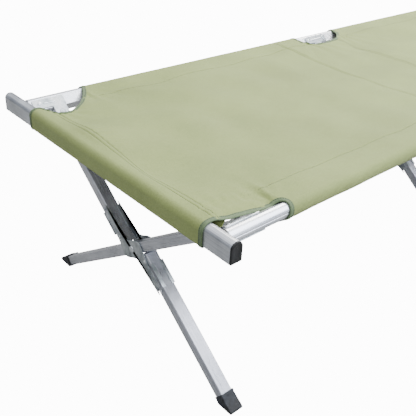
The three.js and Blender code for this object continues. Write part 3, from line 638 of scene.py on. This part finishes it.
plate_across = -FAR["inward"]
plate_up = FAR["out"]
plate_normal = np.cross(plate_across, plate_up)
for where, leg_x in LEG_X.items():
    rivets = []
    for label, facing in (("front", 1), ("back", -1)):
        # The front plate faces the head and the back plate the foot. A blank's own z may point either way.
        away = -facing * ALONG
        mirror = 1 if plate_normal @ away > 0 else -1
        leg_face = np.array([leg_x - facing * (LEG_DEEP / 2 + PLATE_GAP), 0.0, PIVOT])
        at = leg_face - (PLATE_THICK if mirror < 0 else 0.0) * plate_normal
        top_at = leg_face + PLATE_THICK * away
        fold = FLANGE_DEEP + PLATE_THICK / 2
        fold_at = at + (PLATE_THICK / 2 - (fold if mirror > 0 else 0.0)) * plate_normal
        shells = [stamping(plate_outline, PLATE_THICK, at, plate_across, plate_up)]
        for half in (1, -1):
            for off in (-ARM_BEAD_OFF, ARM_BEAD_OFF):
                ends = [(mirror * half * (BESIDE_PIVOT + off), half * y) for y in ARM_BEAD]
                shells.append(bead(*ends, 0.0034, 0.0011, top_at, mirror * plate_across, plate_up))
            for edge in (1, -1):
                centre = half * BESIDE_PIVOT + edge * (arm_half - FLANGE_THICK / 2)
                left, right = centre - FLANGE_THICK / 2, centre + FLANGE_THICK / 2
                start, stop = half * FLANGE_START, half * FLANGE_END
                strip = rounded([(left, start), (right, start), (right, stop), (left, stop)], 0.0005, 3)
                if half < 0:
                    strip = strip[::-1]
                shells.append(stamping(strip, fold, fold_at, plate_across, plate_up, 0.0002))
            for x, y in ARM_RIVETS:
                spot = top_at + half * x * plate_across + half * y * plate_up
                rivets.append(rivet(spot, away, 0.0032, 0.0016))
        node = f"x_plate_{label}_{where}"
        piece(f"{node}_stamping", merged(shells), dull_steel, "far_side", [node], crease=40)
    piece(f"x_plate_rivets_{where}", merged(rivets), bright_steel, "far_side")

# ---- Pivots, leg pins and hinge pins
# Bright zinc-plated steel rivets that the legs and rails turn on. Their heads are set over the plates, and
# each is a profile turned round its axis.
for where, leg_x in LEG_X.items():
    node = f"x_pivot_{where}"
    half = LEG_DEEP / 2 + PLATE_GAP * 2 + PLATE_THICK
    dome = [(-half - 0.0025, 0.0), (-half - 0.0025, 0.003), (-half - 0.0019, 0.0052),
            (-half - 0.0008, 0.0066), (-half, 0.007), (-half, 0.004)]
    pivot = rod((leg_x, 0.0, PIVOT), ALONG, dome + [(-along, radius) for along, radius in dome[::-1]])
    piece(f"{node}_rivet", pivot, bright_steel, "root", [node])

PIN_DROP = 0.031
CHEEK_THICK = 0.002
HINGE_OUT = 0.0305
HINGE_DROP = 0.0045


def headed(half, radius, head_radius, head):
    """Profile of a pin with a flat-topped, ring-stepped head at each end."""
    end = [(-half - head, 0.0), (-half - head, head_radius * 0.42), (-half - head * 0.72, head_radius * 0.5),
           (-half - head * 0.72, head_radius * 0.68), (-half - head, head_radius * 0.78),
           (-half - head * 0.7, head_radius * 0.96), (-half - head * 0.2, head_radius), (-half, head_radius),
           (-half, radius)]
    return end + [(-along, r) for along, r in end[::-1]]


rail_grip = RAIL_THICK / 2 + 2 * PLATE_GAP + CHEEK_THICK
leg_pin = headed(rail_grip, 0.003, 0.0055, 0.002)
hinge_pin = headed(rail_grip, 0.004, 0.007, 0.002)
pins = [(f"leg_pin_{where}", PIN_DROP, leg_x, leg_pin) for where, leg_x in LEG_X.items()]
pins.append(("hinge_pin", HINGE_DROP, LEG_X["middle"] + HINGE_OUT, hinge_pin))
for side in (NEAR, FAR):
    for label, drop, x, profile in pins:
        node = f"{side['name']}_{label}"
        pin = rod(on_rail(side, along=-drop, x=x), side["inward"], profile)
        piece(f"{node}_rivet", pin, bright_steel, side["body"], [node])

# ---- Cheek plates and hinge plates
# Bright zinc-plated steel, one on each flat of a rail. A tongue runs down beside the leg top to its pin.
# In the middle the same plate reaches over both halves of the rail, and the foot half turns on its pin.
CHEEK_TOP = 0.006
CHEEK_BOTTOM = 0.015
TONGUE_HALF = 0.014
TONGUE_LENGTH = 0.042
CHEEK_RIVET_OUT = 0.040
CHEEK_RIVET_DROP = 0.004
CHEEK_BEAD_DROP = 0.0045
# Where a plate starts and stops, where its bead runs, and where its rivet sits, from the leg's own middle.
CHEEKS = {"head": ((-0.053, 0.016), (-0.030, -0.008), -CHEEK_RIVET_OUT),
          "middle": ((-0.040, 0.040), (-0.020, 0.020), -HINGE_OUT),
          "foot": ((-0.016, 0.053), (0.008, 0.030), CHEEK_RIVET_OUT)}


def cheek_outline(start, stop):
    """A strip along the rail with a tongue down the leg, its lower corners cut off."""
    return rounded([(start, CHEEK_TOP), (start, -CHEEK_BOTTOM), (-TONGUE_HALF, -CHEEK_BOTTOM),
                    (-TONGUE_HALF, 0.007 - TONGUE_LENGTH), (-TONGUE_HALF / 2, -TONGUE_LENGTH),
                    (TONGUE_HALF / 2, -TONGUE_LENGTH), (TONGUE_HALF, 0.007 - TONGUE_LENGTH),
                    (TONGUE_HALF, -CHEEK_BOTTOM), (stop, -CHEEK_BOTTOM), (stop, CHEEK_TOP)], 0.003)


for side in (NEAR, FAR):
    rivets = []
    blank_normal = np.cross(ALONG, side["out"])
    for where, leg_x in LEG_X.items():
        strip, bead_run, rivet_out = CHEEKS[where]
        for face, sign in (("inner", 1), ("outer", -1)):
            away = sign * side["inward"]
            mirror = 1 if blank_normal @ away > 0 else -1
            flat = on_rail(side, across=sign * (RAIL_THICK / 2 + PLATE_GAP), x=leg_x)
            top = flat + CHEEK_THICK * away
            at = flat if mirror > 0 else top
            shells = [stamping(cheek_outline(*strip), CHEEK_THICK, at, ALONG, side["out"])]
            ends = [(mirror * x, -CHEEK_BEAD_DROP) for x in bead_run]
            shells.append(bead(*ends, 0.0042, 0.0009, top, mirror * ALONG, side["out"]))
            label = f"hinge_plate_{face}" if where == "middle" else f"cheek_{face}_{where}"
            node = f"{side['name']}_{label}"
            piece(f"{node}_stamping", merged(shells), bright_steel, side["body"], [node],
                  crease=40)
            spot = top + rivet_out * ALONG - CHEEK_RIVET_DROP * side["out"]
            rivets.append(rivet(spot, away, 0.0042, 0.0018))
    piece(f"{side['name']}_plate_rivets", merged(rivets), bright_steel, side["body"])

# ---- Cover
# One panel of coated nylon canvas. It is folded over the end bars and the rails into sleeves, sewn down
# with double rows, and stretched when the legs open. The two halves here meet on the cot's middle line.
CLOTH = 0.0012
DECK_LEVEL = 0.41362
BAR_LEVEL = 0.4215
BAR_MIDDLE = 0.939
BAR_ARCH = 0.40899  # height of the middle of the end bar's arch
BAR_SHOULDER = 0.4075
BAR_BASE = 0.385
SAG = 0.012
SAG_LENGTH = 0.330
RISE_LENGTH = 0.110
SIDE_SEAM = 0.048
END_SEAM = 0.034
CLOTH_GAP = 0.0015  # metal face to the middle of the cloth
CROSS_SEAMS = (-0.210, -0.0135)
SEAM_ROW = 0.0035  # each cross seam is two rows, this far either side of its middle
MIDDLE_MOUTHS = (-0.128, 0.031)  # the ends of the middle cut-out at the rail
CORNER_MOUTH = {"near": -0.800, "far": -0.797}
FAR_CUT = 0.190
NEAR_CUT = 0.276
MIDDLE_CUT = 0.222
DROOP = 0.0088
MOUTH_SLANT = 0.014
arch_radius = (RAIL_THICK ** 2 / 4 + RAIL_DOME ** 2) / (2 * RAIL_DOME)
for side in (NEAR, FAR):
    side["arch"] = on_rail(side, along=RAIL_DEEP / 2 - arch_radius)
    side["span"] = abs(side["arch"][1])


def smooth(t):
    """Eases from 0 to 1: three times t squared less twice t cubed, with t held between 0 and 1."""
    t = np.clip(t, 0.0, 1.0)
    return t * t * (3 - 2 * t)


def bell(t):
    """A Gaussian, exp(-t squared)."""
    return np.exp(-t * t)


seeded = np.random.default_rng(11)
wave_length = seeded.uniform(0.10, 0.42, 14)
wave_heading = seeded.uniform(0, np.pi, 14)
wave_phase = seeded.uniform(0, 2 * np.pi, 14)
# Pulls spread from where the cloth takes the load: (x, y, height, reach, number of folds, turn).
PULLS = [(-0.90, 0.205, 0.0009, 0.10, 11, 0.4), (-0.80, 0.285, 0.0010, 0.13, 13, 1.1),
         (-0.81, -0.285, 0.0009, 0.12, 12, 2.0), (-0.90, -0.262, 0.0005, 0.07, 9, 0.2),
         (-0.125, 0.262, 0.0011, 0.15, 14, 0.9), (0.020, 0.262, 0.0012, 0.17, 13, 2.6),
         (-0.125, -0.262, 0.0010, 0.14, 13, 1.9), (0.020, -0.262, 0.0010, 0.14, 12, 0.5),
         (0.90, 0.205, 0.0009, 0.10, 11, 1.4), (0.80, 0.285, 0.0010, 0.13, 13, 2.1),
         (0.81, -0.285, 0.0009, 0.12, 12, 0.7), (0.90, -0.262, 0.0005, 0.07, 9, 1.2)]


def wrinkles(x, y):
    """Height of the folds on the lying surface, summed in four parts. Broad rolls are sines of random length
    and heading. Long folds follow each rail, sines across it under a bell centred 30 mm in. Pulls are
    cosines of the angle round each loaded corner, and die away with distance. Puckers are short sines along
    the hems. All of it eases to nothing at the crowns of the rails and bars."""
    s = np.abs(y)
    span = np.where(y < 0, NEAR["span"], FAR["span"])
    rolls = sum(0.00085 * np.sin(2 * np.pi / length * (x * np.cos(way) + y * np.sin(way)) + phase)
                for length, way, phase in zip(wave_length, wave_heading, wave_phase))
    wander = 0.006 * np.sin(9.1 * x + 0.7) + 0.004 * np.sin(17.0 * x + 2.0)
    side_folds = 0.0013 * np.sin(2 * np.pi * (span - s + wander) / 0.027 + 1.3 * np.sin(5.3 * x))
    side_folds = side_folds * bell((span - s - 0.034) / 0.026) * (0.6 + 0.4 * np.sin(6.7 * x + 1.9))
    pulls = 0.0
    for at_x, at_y, tall, reach, folds, turned in PULLS:
        away = np.hypot(x - at_x, y - at_y)
        angle = np.arctan2(y - at_y, x - at_x)
        fading = smooth(away / 0.03) * np.exp(-away / reach)
        pulls = pulls + 1.1 * tall * fading * np.cos(folds * angle + turned)
    from_bar = BAR_MIDDLE - np.abs(x)
    puckers = 0.0006 * np.sin(2 * np.pi * (y + 0.004 * np.sin(37 * y)) / 0.017)
    puckers = puckers * bell((from_bar - 0.036) / 0.022) * (0.6 + 0.4 * np.sin(29 * y + 1.0))
    seam_puckers = 0.0004 * np.sin(2 * np.pi * x / 0.019 + 1.5 * np.sin(21 * x))
    seam_puckers = seam_puckers * bell((span - s - 0.05) / 0.016)
    settle = smooth((span - s) / 0.035) * smooth(from_bar / 0.03)
    return settle * (rolls + side_folds + pulls + puckers + seam_puckers)


def hem_rows(y):
    """Distances from the bar's middle of the two hem rows. They run askew, straight lines across the cot."""
    share = (y + 0.268) / 0.508
    return 0.012 + 0.010 * share, 0.0195 + 0.0105 * share


def deck(x, y):
    """Height of the cloth's middle surface. From the crown level it sags by a parabola across the cot, eased
    in away from the bars, and it rises to the bars near them. Beside the near corner cut-outs the free edge
    droops. Folds add to that, and every sewn row draws a groove that is a bell across the row."""
    s = np.abs(y)
    span = np.where(y < 0, NEAR["span"], FAR["span"])
    from_bar = BAR_MIDDLE - np.abs(x)
    sag = SAG * (1 - (s / span) ** 2) * smooth(from_bar / SAG_LENGTH)
    rise = (BAR_LEVEL - DECK_LEVEL) * (1 - smooth(from_bar / RISE_LENGTH))
    outer_row, inner_row = hem_rows(y)
    grooves = bell((s - (RAIL_Y - SIDE_SEAM)) / 0.0016)
    grooves = grooves + bell((from_bar - outer_row) / 0.0013) + bell((from_bar - inner_row) / 0.0013)
    for seam, deep in zip(CROSS_SEAMS, (1.0, 0.5)):
        for row in (seam - SEAM_ROW, seam + SEAM_ROW):
            grooves = grooves + deep * bell((x - row) / 0.0014)
    settle = smooth((span - s) / 0.02)
    along_cut = smooth((from_bar - 0.008) / 0.03) * smooth((0.139 - from_bar) / 0.02)
    droop = np.where(y < 0, DROOP * smooth((s - 0.19) / 0.086) * along_cut, 0.0)
    return DECK_LEVEL - sag + rise - droop + wrinkles(x, y) - 0.0011 * settle * grooves


def bezier(first, second, third, last, count=22):
    """A cubic curve through its first and last points, pulled towards the two between."""
    t = np.linspace(0, 1, count)[:, None]
    p = [np.array(q) for q in (first, second, third, last)]
    return (1 - t) ** 3 * p[0] + 3 * t * (1 - t) ** 2 * p[1] + 3 * t * t * (1 - t) * p[2] + t ** 3 * p[3]


def cut(side):
    """The cut edge at the head corner and in the middle of one side, as (x, distance from the middle
    line). Each is two cubic curves that meet on a shared tangent at the cut's deepest line."""
    k = side["span"]
    mouth = CORNER_MOUTH[side["name"]]
    if side is FAR:
        corner = [bezier((-0.932, 0.223), (-0.921, 0.221), (-0.923, FAR_CUT), (-0.900, FAR_CUT)),
                  bezier((-0.900, FAR_CUT), (-0.866, FAR_CUT), (-0.820, 0.238), (mouth, k))]
    else:
        corner = [bezier((-0.932, 0.274), (-0.890, NEAR_CUT), (-0.830, NEAR_CUT), (-0.814, 0.2785)),
                  bezier((-0.814, 0.2785), (-0.807, 0.280), (-0.8015, 0.286), (mouth, k))]
    first, last = MIDDLE_MOUTHS
    middle = [bezier((first, k), (first, 0.235), (-0.112, MIDDLE_CUT), (-0.080, MIDDLE_CUT)),
              bezier((-0.080, MIDDLE_CUT), (-0.030, MIDDLE_CUT), (0.030, 0.250), (last, k))]
    start = np.array([[-BAR_MIDDLE, corner[0][0, 1]]])
    return np.concatenate([start, *corner]), np.concatenate(middle)


for side in (NEAR, FAR):
    corner, middle = cut(side)
    far_corner = corner[::-1] * np.array([-1, 1])
    side["cuts"] = {"head": corner, "middle": middle, "foot": far_corner}
    side["edge"] = np.concatenate([corner, middle, far_corner])


def edge(side, x):
    """Distance from the middle line to the edge of the lying surface at each place along the cot."""
    line = side["edge"]
    return np.interp(x, line[:, 0] + 1e-9 * np.arange(len(line)), line[:, 1])


# Lines across the cot that the cloth's grid runs on: evenly spaced, closer at sewn rows and cut edges, and
# exactly at every mouth. Shares are the grid's steps from the middle line to the edge.
corner_mouths = list(CORNER_MOUTH.values())
mouths = np.array([*corner_mouths, *[-x for x in corner_mouths], *MIDDLE_MOUTHS, -BAR_MIDDLE, BAR_MIDDLE])
hem_steps = np.arange(-0.932, -0.902, 0.0012)
seam_steps = [seam + np.arange(-0.008, 0.0081, 0.0012) for seam in CROSS_SEAMS]
wanted = np.concatenate([np.linspace(-BAR_MIDDLE, BAR_MIDDLE, 262), NEAR["edge"][:, 0], FAR["edge"][:, 0],
                         hem_steps, -hem_steps, *seam_steps])
wanted = np.unique(np.round(wanted / 0.001)) * 0.001
wanted = wanted[np.abs(wanted[:, None] - mouths).min(axis=1) > 0.0006]
stations = np.sort(np.concatenate([wanted, mouths]))
seam_share = (RAIL_Y - SIDE_SEAM) / NEAR["span"]
seam_shares = seam_share + np.arange(-5, 6) * 0.0045
shares = np.unique(np.round(np.concatenate([np.linspace(0, 1, 54), seam_shares]), 5))


def closed_wrap(wrap, seam, steps, turn):
    """Carries a wrap from its last row straight to its seam in equal steps. Gives its points and their
    outward normals: the cross product of the way round with a fixed direction along the rail or bar."""
    back = np.linspace(0, 1, steps)[1:, None, None]
    wrap = np.concatenate([wrap, wrap[-1] + back * (seam - wrap[-1])])
    normal = np.cross(np.gradient(wrap, axis=0), turn)
    normal /= np.linalg.norm(normal, axis=2, keepdims=True)
    return wrap, normal


def gone_round(wrap):
    """Length gone round at each step: the distances between neighbouring points, added up."""
    return np.cumsum(np.linalg.norm(np.diff(wrap, axis=0, prepend=wrap[:1]), axis=2), axis=0)


def rail_wrap(side, x):
    """Cloth round a rail: from the crown over the arch, down the outer flat, round its lower corner, and
    straight back to the side seam under the lying surface, a little slack. The mouths near the bars slant.
    Gives points (step, place along the cot, xyz), their outward normals and the length gone round."""
    radius = DECK_LEVEL - side["arch"][2]
    lift = RAIL_DEEP / 2 - arch_radius
    theta = np.linspace(np.pi / 2 - side["lean"], np.pi - np.arccos(RAIL_THICK / 2 / arch_radius), 15)
    arc = np.column_stack([radius * np.cos(theta), lift + radius * np.sin(theta)])
    out_face, low_face, bend = -RAIL_THICK / 2 - CLOTH_GAP, 0.003 - RAIL_DEEP / 2 - CLOTH_GAP, 0.003
    flat = np.column_stack([np.full(6, out_face), np.linspace(arc[-1, 1] - 0.002, low_face, 6)])
    phi = np.radians(np.linspace(190, 252, 6))
    turned = np.column_stack([out_face + bend + bend * np.cos(phi), low_face + bend * np.sin(phi)])
    path = np.concatenate([arc, flat, turned])
    wrap = side["rail"] + path[:, :1] * side["inward"] + path[:, 1:] * side["out"]
    wrap = np.repeat(wrap[:, None], len(x), axis=1)
    slant = MOUTH_SLANT * (1 - smooth((0.80 - np.abs(x)) / 0.06))
    wrap[..., 0] = x + np.sign(x) * smooth(np.arange(len(path)) / len(path))[:, None] * slant
    seam_y = side["sign"] * (RAIL_Y - SIDE_SEAM)
    seam = np.column_stack([x, np.full(len(x), seam_y), deck(x, np.full(len(x), seam_y)) - CLOTH - 0.0002])
    wrap, normal = closed_wrap(wrap, seam, 10, -side["sign"] * ALONG)
    slack = 0.0006 * np.sin(np.linspace(0, np.pi, len(wrap)))[:, None] * np.sin(41 * x + 3 * np.sin(7 * x))
    wrap = wrap + np.maximum(slack, 0.0)[..., None] * normal
    return wrap, normal, gone_round(wrap)


def bar_wrap(side, end):
    """Cloth round half of an end bar: from its crown over the arch, down the outer flat, under, and back to
    the end seam, where the flap is kept inside the cut edge. Shaped like rail_wrap's result."""
    theta = np.linspace(np.pi / 2, 0, 13)
    radius = BAR_LEVEL - BAR_ARCH
    arc = np.column_stack([BAR_MIDDLE + radius * np.cos(theta), BAR_ARCH + radius * np.sin(theta)])
    face, low, bend = BAR_MIDDLE + radius, BAR_BASE - CLOTH_GAP, 0.003
    flat = np.column_stack([np.full(6, face), np.linspace(BAR_SHOULDER, low + bend, 6)])
    phi = np.radians(np.linspace(-15, -90, 6))
    first = np.column_stack([face - bend + bend * np.cos(phi), low + bend + bend * np.sin(phi)])
    second = np.array([[BAR_MIDDLE, low], [BAR_MIDDLE - 0.0095, low], [BAR_MIDDLE - 0.0115, low + 0.0007],
                       [BAR_MIDDLE - 0.0125, low + 0.0022]])
    path = np.concatenate([arc, flat, first, second])
    mouth = edge(side, np.array([end * BAR_MIDDLE]))[0]
    wrap = np.empty((len(path), len(shares), 3))
    wrap[..., 0] = end * path[:, :1]
    wrap[..., 1] = side["sign"] * mouth * shares
    wrap[..., 2] = path[:, 1:]
    seam_x = np.full(len(shares), end * (BAR_MIDDLE - END_SEAM))
    seam_y = side["sign"] * shares * min(mouth, edge(side, seam_x)[0] - 0.003)
    seam = np.column_stack([seam_x, seam_y, deck(seam_x, seam_y) - CLOTH - 0.0002])
    wrap, normal = closed_wrap(wrap, seam, 8, np.array([0.0, end, 0.0]))
    return wrap, normal, gone_round(wrap)


def canvas(name, dark, light, weave):
    """Coated nylon canvas in sage green. The real yarns lie 0.5 mm apart. They are drawn at the given pitch,
    coarser, so that they hold up at the distance the cot is seen from. Tone drifts in soft clouds."""
    made, tree = new_tree(name)
    place = add(tree, "TexCoord")
    flat = add(tree, "SeparateXYZ", {"Vector": place.outputs["UV"]})
    yarns = []
    for axis in ("X", "Y"):
        turns = add(tree, "Math", {0: flat.outputs[axis], 1: 2 * np.pi / weave}, operation="MULTIPLY")
        yarns.append(add(tree, "Math", {0: turns.outputs[0]}, operation="SINE"))
    woven = add(tree, "Math", {0: yarns[0].outputs[0], 1: yarns[1].outputs[0]}, operation="MULTIPLY")
    clouds = add(tree, "TexNoise",
                 {"Vector": place.outputs["Object"], "Scale": 7.0, "Detail": 6.0, "Roughness": 0.6})
    flecks = add(tree, "TexNoise", {"Vector": place.outputs["Object"], "Scale": 420.0, "Detail": 2.0})
    mixed = add(tree, "Math", {0: clouds.outputs["Fac"], 1: flecks.outputs["Fac"]}, operation="ADD")
    half = add(tree, "Math", {0: mixed.outputs[0], 1: 0.5}, operation="MULTIPLY")
    colour = ramp(tree, half.outputs[0], (0.36, dark), (0.64, light))
    relief = add(tree, "Bump", {"Height": woven.outputs[0], "Strength": 0.35, "Distance": 0.0003})
    creases = add(tree, "TexNoise", {"Vector": place.outputs["Object"], "Scale": 26.0, "Detail": 4.0})
    crumpled = add(tree, "Bump", {"Height": creases.outputs["Fac"], "Strength": 0.25, "Distance": 0.002,
                                  "Normal": relief.outputs["Normal"]})
    cloth = add(tree, "BsdfPrincipled", {"Base Color": colour, "Roughness": 0.72, "Sheen Weight": 0.12,
                                         "Sheen Roughness": 0.5, "Normal": crumpled.outputs["Normal"]})
    add(tree, "OutputMaterial", {"Surface": cloth.outputs[0]})
    return made


reverse_coating = plastic("polyurethane-coated canvas reverse", "#8f8f8c", "#a6a6a2", 0.6, 700.0)
cover_cloth = canvas("coated nylon canvas", "#838f4f", "#97a460", 0.0016)
for side in (NEAR, FAR):
    y = side["sign"] * shares[:, None] * edge(side, stations)[None]
    x = np.broadcast_to(stations, y.shape)
    shells = [(np.stack([x, y, deck(x, y)], axis=2).reshape(-1, 3), quads(*y.shape),
               np.stack([x, y], axis=2).reshape(-1, 2))]
    corner_mouth = CORNER_MOUTH[side["name"]]
    side["sleeves"] = ((corner_mouth, MIDDLE_MOUTHS[0]), (MIDDLE_MOUTHS[1], -corner_mouth))
    for first, last in side["sleeves"]:
        some = stations[(stations > first - 1e-6) & (stations < last + 1e-6)]
        wrap, _, gone = rail_wrap(side, some)
        uv = np.stack([np.broadcast_to(some, gone.shape), side["sign"] * (side["span"] + gone)], axis=2)
        shells.append((wrap.reshape(-1, 3), quads(*gone.shape), uv.reshape(-1, 2)))
    for end in (-1, 1):
        wrap, _, gone = bar_wrap(side, end)
        uv = np.stack([end * (BAR_MIDDLE + gone), wrap[..., 1]], axis=2)
        shells.append((wrap.reshape(-1, 3), quads(*gone.shape), uv.reshape(-1, 2)))
    name = f"{side['name']}_cover_canvas"
    sheet = piece(name, merged(shells), cover_cloth, None, crease=75)
    side["area"] = sum(face.area for face in sheet.data.polygons)
    shell = sheet.modifiers.new("thickness", "SOLIDIFY")
    shell.thickness = CLOTH
    shell.offset = 0.0
    bpy.context.view_layer.update()
    solid = bpy.data.meshes.new_from_object(sheet.evaluated_get(bpy.context.evaluated_depsgraph_get()))
    sheet.modifiers.clear()
    sheet.data = solid
    solid.set_sharp_from_angle(angle=np.radians(60))
    # The reverse of the lying surface shows the grey coating that makes the canvas waterproof.
    solid.materials.append(reverse_coating)
    middle = np.array([face.center for face in solid.polygons])
    below = np.array([face.normal.z for face in solid.polygons]) < -0.5
    below &= (middle[:, 2] > deck(middle[:, 0], middle[:, 1]) - 0.001) & (np.abs(middle[:, 0]) < 0.93)
    below &= np.abs(middle[:, 1]) < side["span"] - 0.004
    solid.polygons.foreach_set("material_index", below.astype(np.int32))
    side["cloth"] = sheet

# ---- Binding
# Grey-green bias tape folded over the raw edge of every cut-out and round the mouths of the sleeves. It is
# one strip for each cut-out, sewn on with a single row.
# The tape's outline as (into the cloth, off its face): one face, the fold, and the other face back.
TAPE_FACE = [(0.0068, 0.00105), (0.0050, 0.0013), (0.0010, 0.0013), (-0.0006, 0.0010)]
TAPE = [*TAPE_FACE, (-0.0011, 0.0), *[(into, -off) for into, off in TAPE_FACE[::-1]]]
tape_cloth = canvas("woven nylon bias tape", "#566848", "#6c7f58", 0.0014)


def edge_frames(side, line):
    """Points along a cut edge of the lying surface with the cloth's upward normal there, from slopes of the
    deck taken over a millimetre either way."""
    x, y = line[:, 0], side["sign"] * line[:, 1]
    step = 0.001
    slope_x = (deck(x + step, y) - deck(x - step, y)) / (2 * step)
    slope_y = (deck(x, y + step) - deck(x, y - step)) / (2 * step)
    normal = np.column_stack([-slope_x, -slope_y, np.ones(len(x))])
    return np.column_stack([x, y, deck(x, y)]), normal / np.linalg.norm(normal, axis=1)[:, None]


def bound_path(side, where):
    """One whole bound edge as points, normals and directions into the cloth: down a sleeve mouth, along the
    cut, and down the next mouth."""
    line = side["cuts"][where]
    if where == "foot":
        line = line[::-1]
    keep = np.concatenate([[True], np.linalg.norm(np.diff(line, axis=0), axis=1) > 0.0004])
    points, normals = edge_frames(side, line[keep])
    runs = [(points, normals)]
    if where == "middle":
        wrap, normal, _ = rail_wrap(side, np.array(MIDDLE_MOUTHS))
        runs = [(wrap[:0:-1, 0], normal[:0:-1, 0]), *runs, (wrap[1:, 1], normal[1:, 1])]
    else:
        end = -1 if where == "head" else 1
        wrap, normal, _ = bar_wrap(side, end)
        sleeve, sleeve_normal, _ = rail_wrap(side, line[-1:, 0])
        runs = [(wrap[-8:0:-1, -1], normal[-8:0:-1, -1]), *runs, (sleeve[1:, 0], sleeve_normal[1:, 0])]
    points = np.concatenate([r[0] for r in runs])
    normals = np.concatenate([r[1] for r in runs])
    tangent = np.gradient(points, axis=0)
    tangent /= np.linalg.norm(tangent, axis=1)[:, None]
    into = np.cross(normals, tangent)
    into *= np.sign(into[len(runs[0][0]) + len(line) // 2 - 6] @ np.array([0.0, -side["sign"], 0.0]))
    into /= np.linalg.norm(into, axis=1)[:, None]
    return points, normals, into


def sweep(points, normals, into, outline):
    """A closed outline of (into the cloth, off its face) carried along a path, with a flat face on each
    end."""
    outline = np.asarray(outline)
    rings = points[:, None] + outline[None, :, :1] * into[:, None] + outline[None, :, 1:] * normals[:, None]
    faces = quads(len(points), len(outline), False, True)
    last = (len(points) - 1) * len(outline)
    faces += [list(range(len(outline)))[::-1], [last + i for i in range(len(outline))]]
    gone = np.concatenate([[0.0], np.cumsum(np.linalg.norm(np.diff(points, axis=0), axis=1))])
    uv = np.stack(np.broadcast_arrays(gone[:, None], outline[None, :, 0] + outline[None, :, 1]), axis=2)
    return rings.reshape(-1, 3), faces, uv.reshape(-1, 2)


for side in (NEAR, FAR):
    side["bound"] = [bound_path(side, where) for where in ("head", "middle", "foot")]
    binding = merged([sweep(*path, TAPE) for path in side["bound"]])
    side["tape"] = piece(f"{side['name']}_cover_binding", binding, tape_cloth, None, crease=60)

# ---- Stitching
# Olive polyester thread, lockstitched. The real thread is 0.5 mm thick at eight stitches to 30 mm.
# It is drawn 1.1 mm thick so that each row still reads as a row. Its colour is darker than the thread's own
# olive: painted shade, standing in for the shade in the groove that each sewn row draws in the cloth.
STITCH_PITCH = 0.0038
STITCH_LENGTH = 0.0028
THREAD = 0.0011
CUT_CLEAR = 0.009  # a row stops this far short of a cut edge
TAPE_ROW = 0.0052  # the row on a tape lies this far in from the cut edge
# Rings of one stitch as (place along it, width, how far sunk).
STITCH_RINGS = ((-1, 0.45, 0.0003), (-0.45, 1, 0), (0.45, 1, 0), (1, 0.45, 0.0003))
# Near-black olive: the thread's own colour darkened with painted shade of the sewn grooves.
thread = canvas("olive polyester thread darkened with painted groove shade", "#2b3320", "#3a442b", 0.0006)


def stitches(points, normals, off):
    """Stitches along a row: each is a four-sided bar, full in the middle and pinched at both ends, laid on
    the row at equal steps of its length and turned to its tangent and the cloth's normal."""
    gone = np.concatenate([[0.0], np.cumsum(np.linalg.norm(np.diff(points, axis=0), axis=1))])
    at = np.arange(STITCH_PITCH / 2, gone[-1], STITCH_PITCH)
    centre = np.column_stack([np.interp(at, gone, points[:, i]) for i in range(3)])
    ahead = np.column_stack([np.interp(at + 0.001, gone, points[:, i]) for i in range(3)])
    behind = np.column_stack([np.interp(at - 0.001, gone, points[:, i]) for i in range(3)])
    normal = np.column_stack([np.interp(at, gone, normals[:, i]) for i in range(3)])
    tangent = ahead - behind
    tangent /= np.linalg.norm(tangent, axis=1)[:, None]
    across = np.cross(normal, tangent)
    across /= np.linalg.norm(across, axis=1)[:, None]
    t, wide, sunk = np.repeat(STITCH_RINGS, 4, axis=0).T
    angle = np.tile(np.arange(4) * np.pi / 2, len(STITCH_RINGS))
    thick = THREAD / 2 * wide
    local = np.column_stack([t * STITCH_LENGTH / 2, thick * np.cos(angle), thick * np.sin(angle) - sunk])
    axes = np.stack([tangent, across, normal], axis=1)
    made = centre[:, None] + off * normal[:, None] + np.einsum("vk,nkj->nvj", local, axes)
    one = quads(4, 4, False, True) + [[3, 2, 1, 0], [12, 13, 14, 15]]
    faces = [[16 * n + corner for corner in face] for n in range(len(at)) for face in one]
    uv = np.tile(local[:, :2], (len(at), 1))
    return made.reshape(-1, 3), faces, uv


def row_across(side, x, gap, step):
    """A row straight across the lying surface at one x, from the middle line to a gap from the edge."""
    s = np.arange(0.0, edge(side, np.array([x]))[0] - gap, step)
    return edge_frames(side, np.column_stack([np.full(len(s), x), s]))


for side in (NEAR, FAR):
    rows = []
    for first, last in side["sleeves"]:
        # The side seam runs on past both mouths of its sleeve until a cut edge comes near.
        first, last = (first - 0.03, last + 0.012) if first < -0.5 else (first - 0.012, last + 0.03)
        x = np.arange(first, last, 0.004)
        x = x[edge(side, x) > RAIL_Y - SIDE_SEAM + CUT_CLEAR]
        rows.append(edge_frames(side, np.column_stack([x, np.full(len(x), RAIL_Y - SIDE_SEAM)])))
    for end in (-1, 1):
        for row in (0, 1):
            s = np.arange(0.0, 0.262, 0.003)
            x = end * (BAR_MIDDLE - hem_rows(side["sign"] * s)[row])
            keep = s < edge(side, x) - 0.008
            rows.append(edge_frames(side, np.column_stack([x[keep], s[keep]])))
    for seam in CROSS_SEAMS:
        rows += [row_across(side, seam + off, 0.006, 0.004) for off in (-SEAM_ROW, SEAM_ROW)]
    shells = [stitches(*row, CLOTH / 2 + 0.0001) for row in rows]
    for points, normals, into in side["bound"]:
        shells.append(stitches(points + TAPE_ROW * into, normals, 0.0014))
    name = side["name"]
    seams = piece(f"{name}_cover_stitching", merged(shells), thread, None, crease=60)
    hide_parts("cover")
    for made in (side["cloth"], side["tape"], seams):
        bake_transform(made)
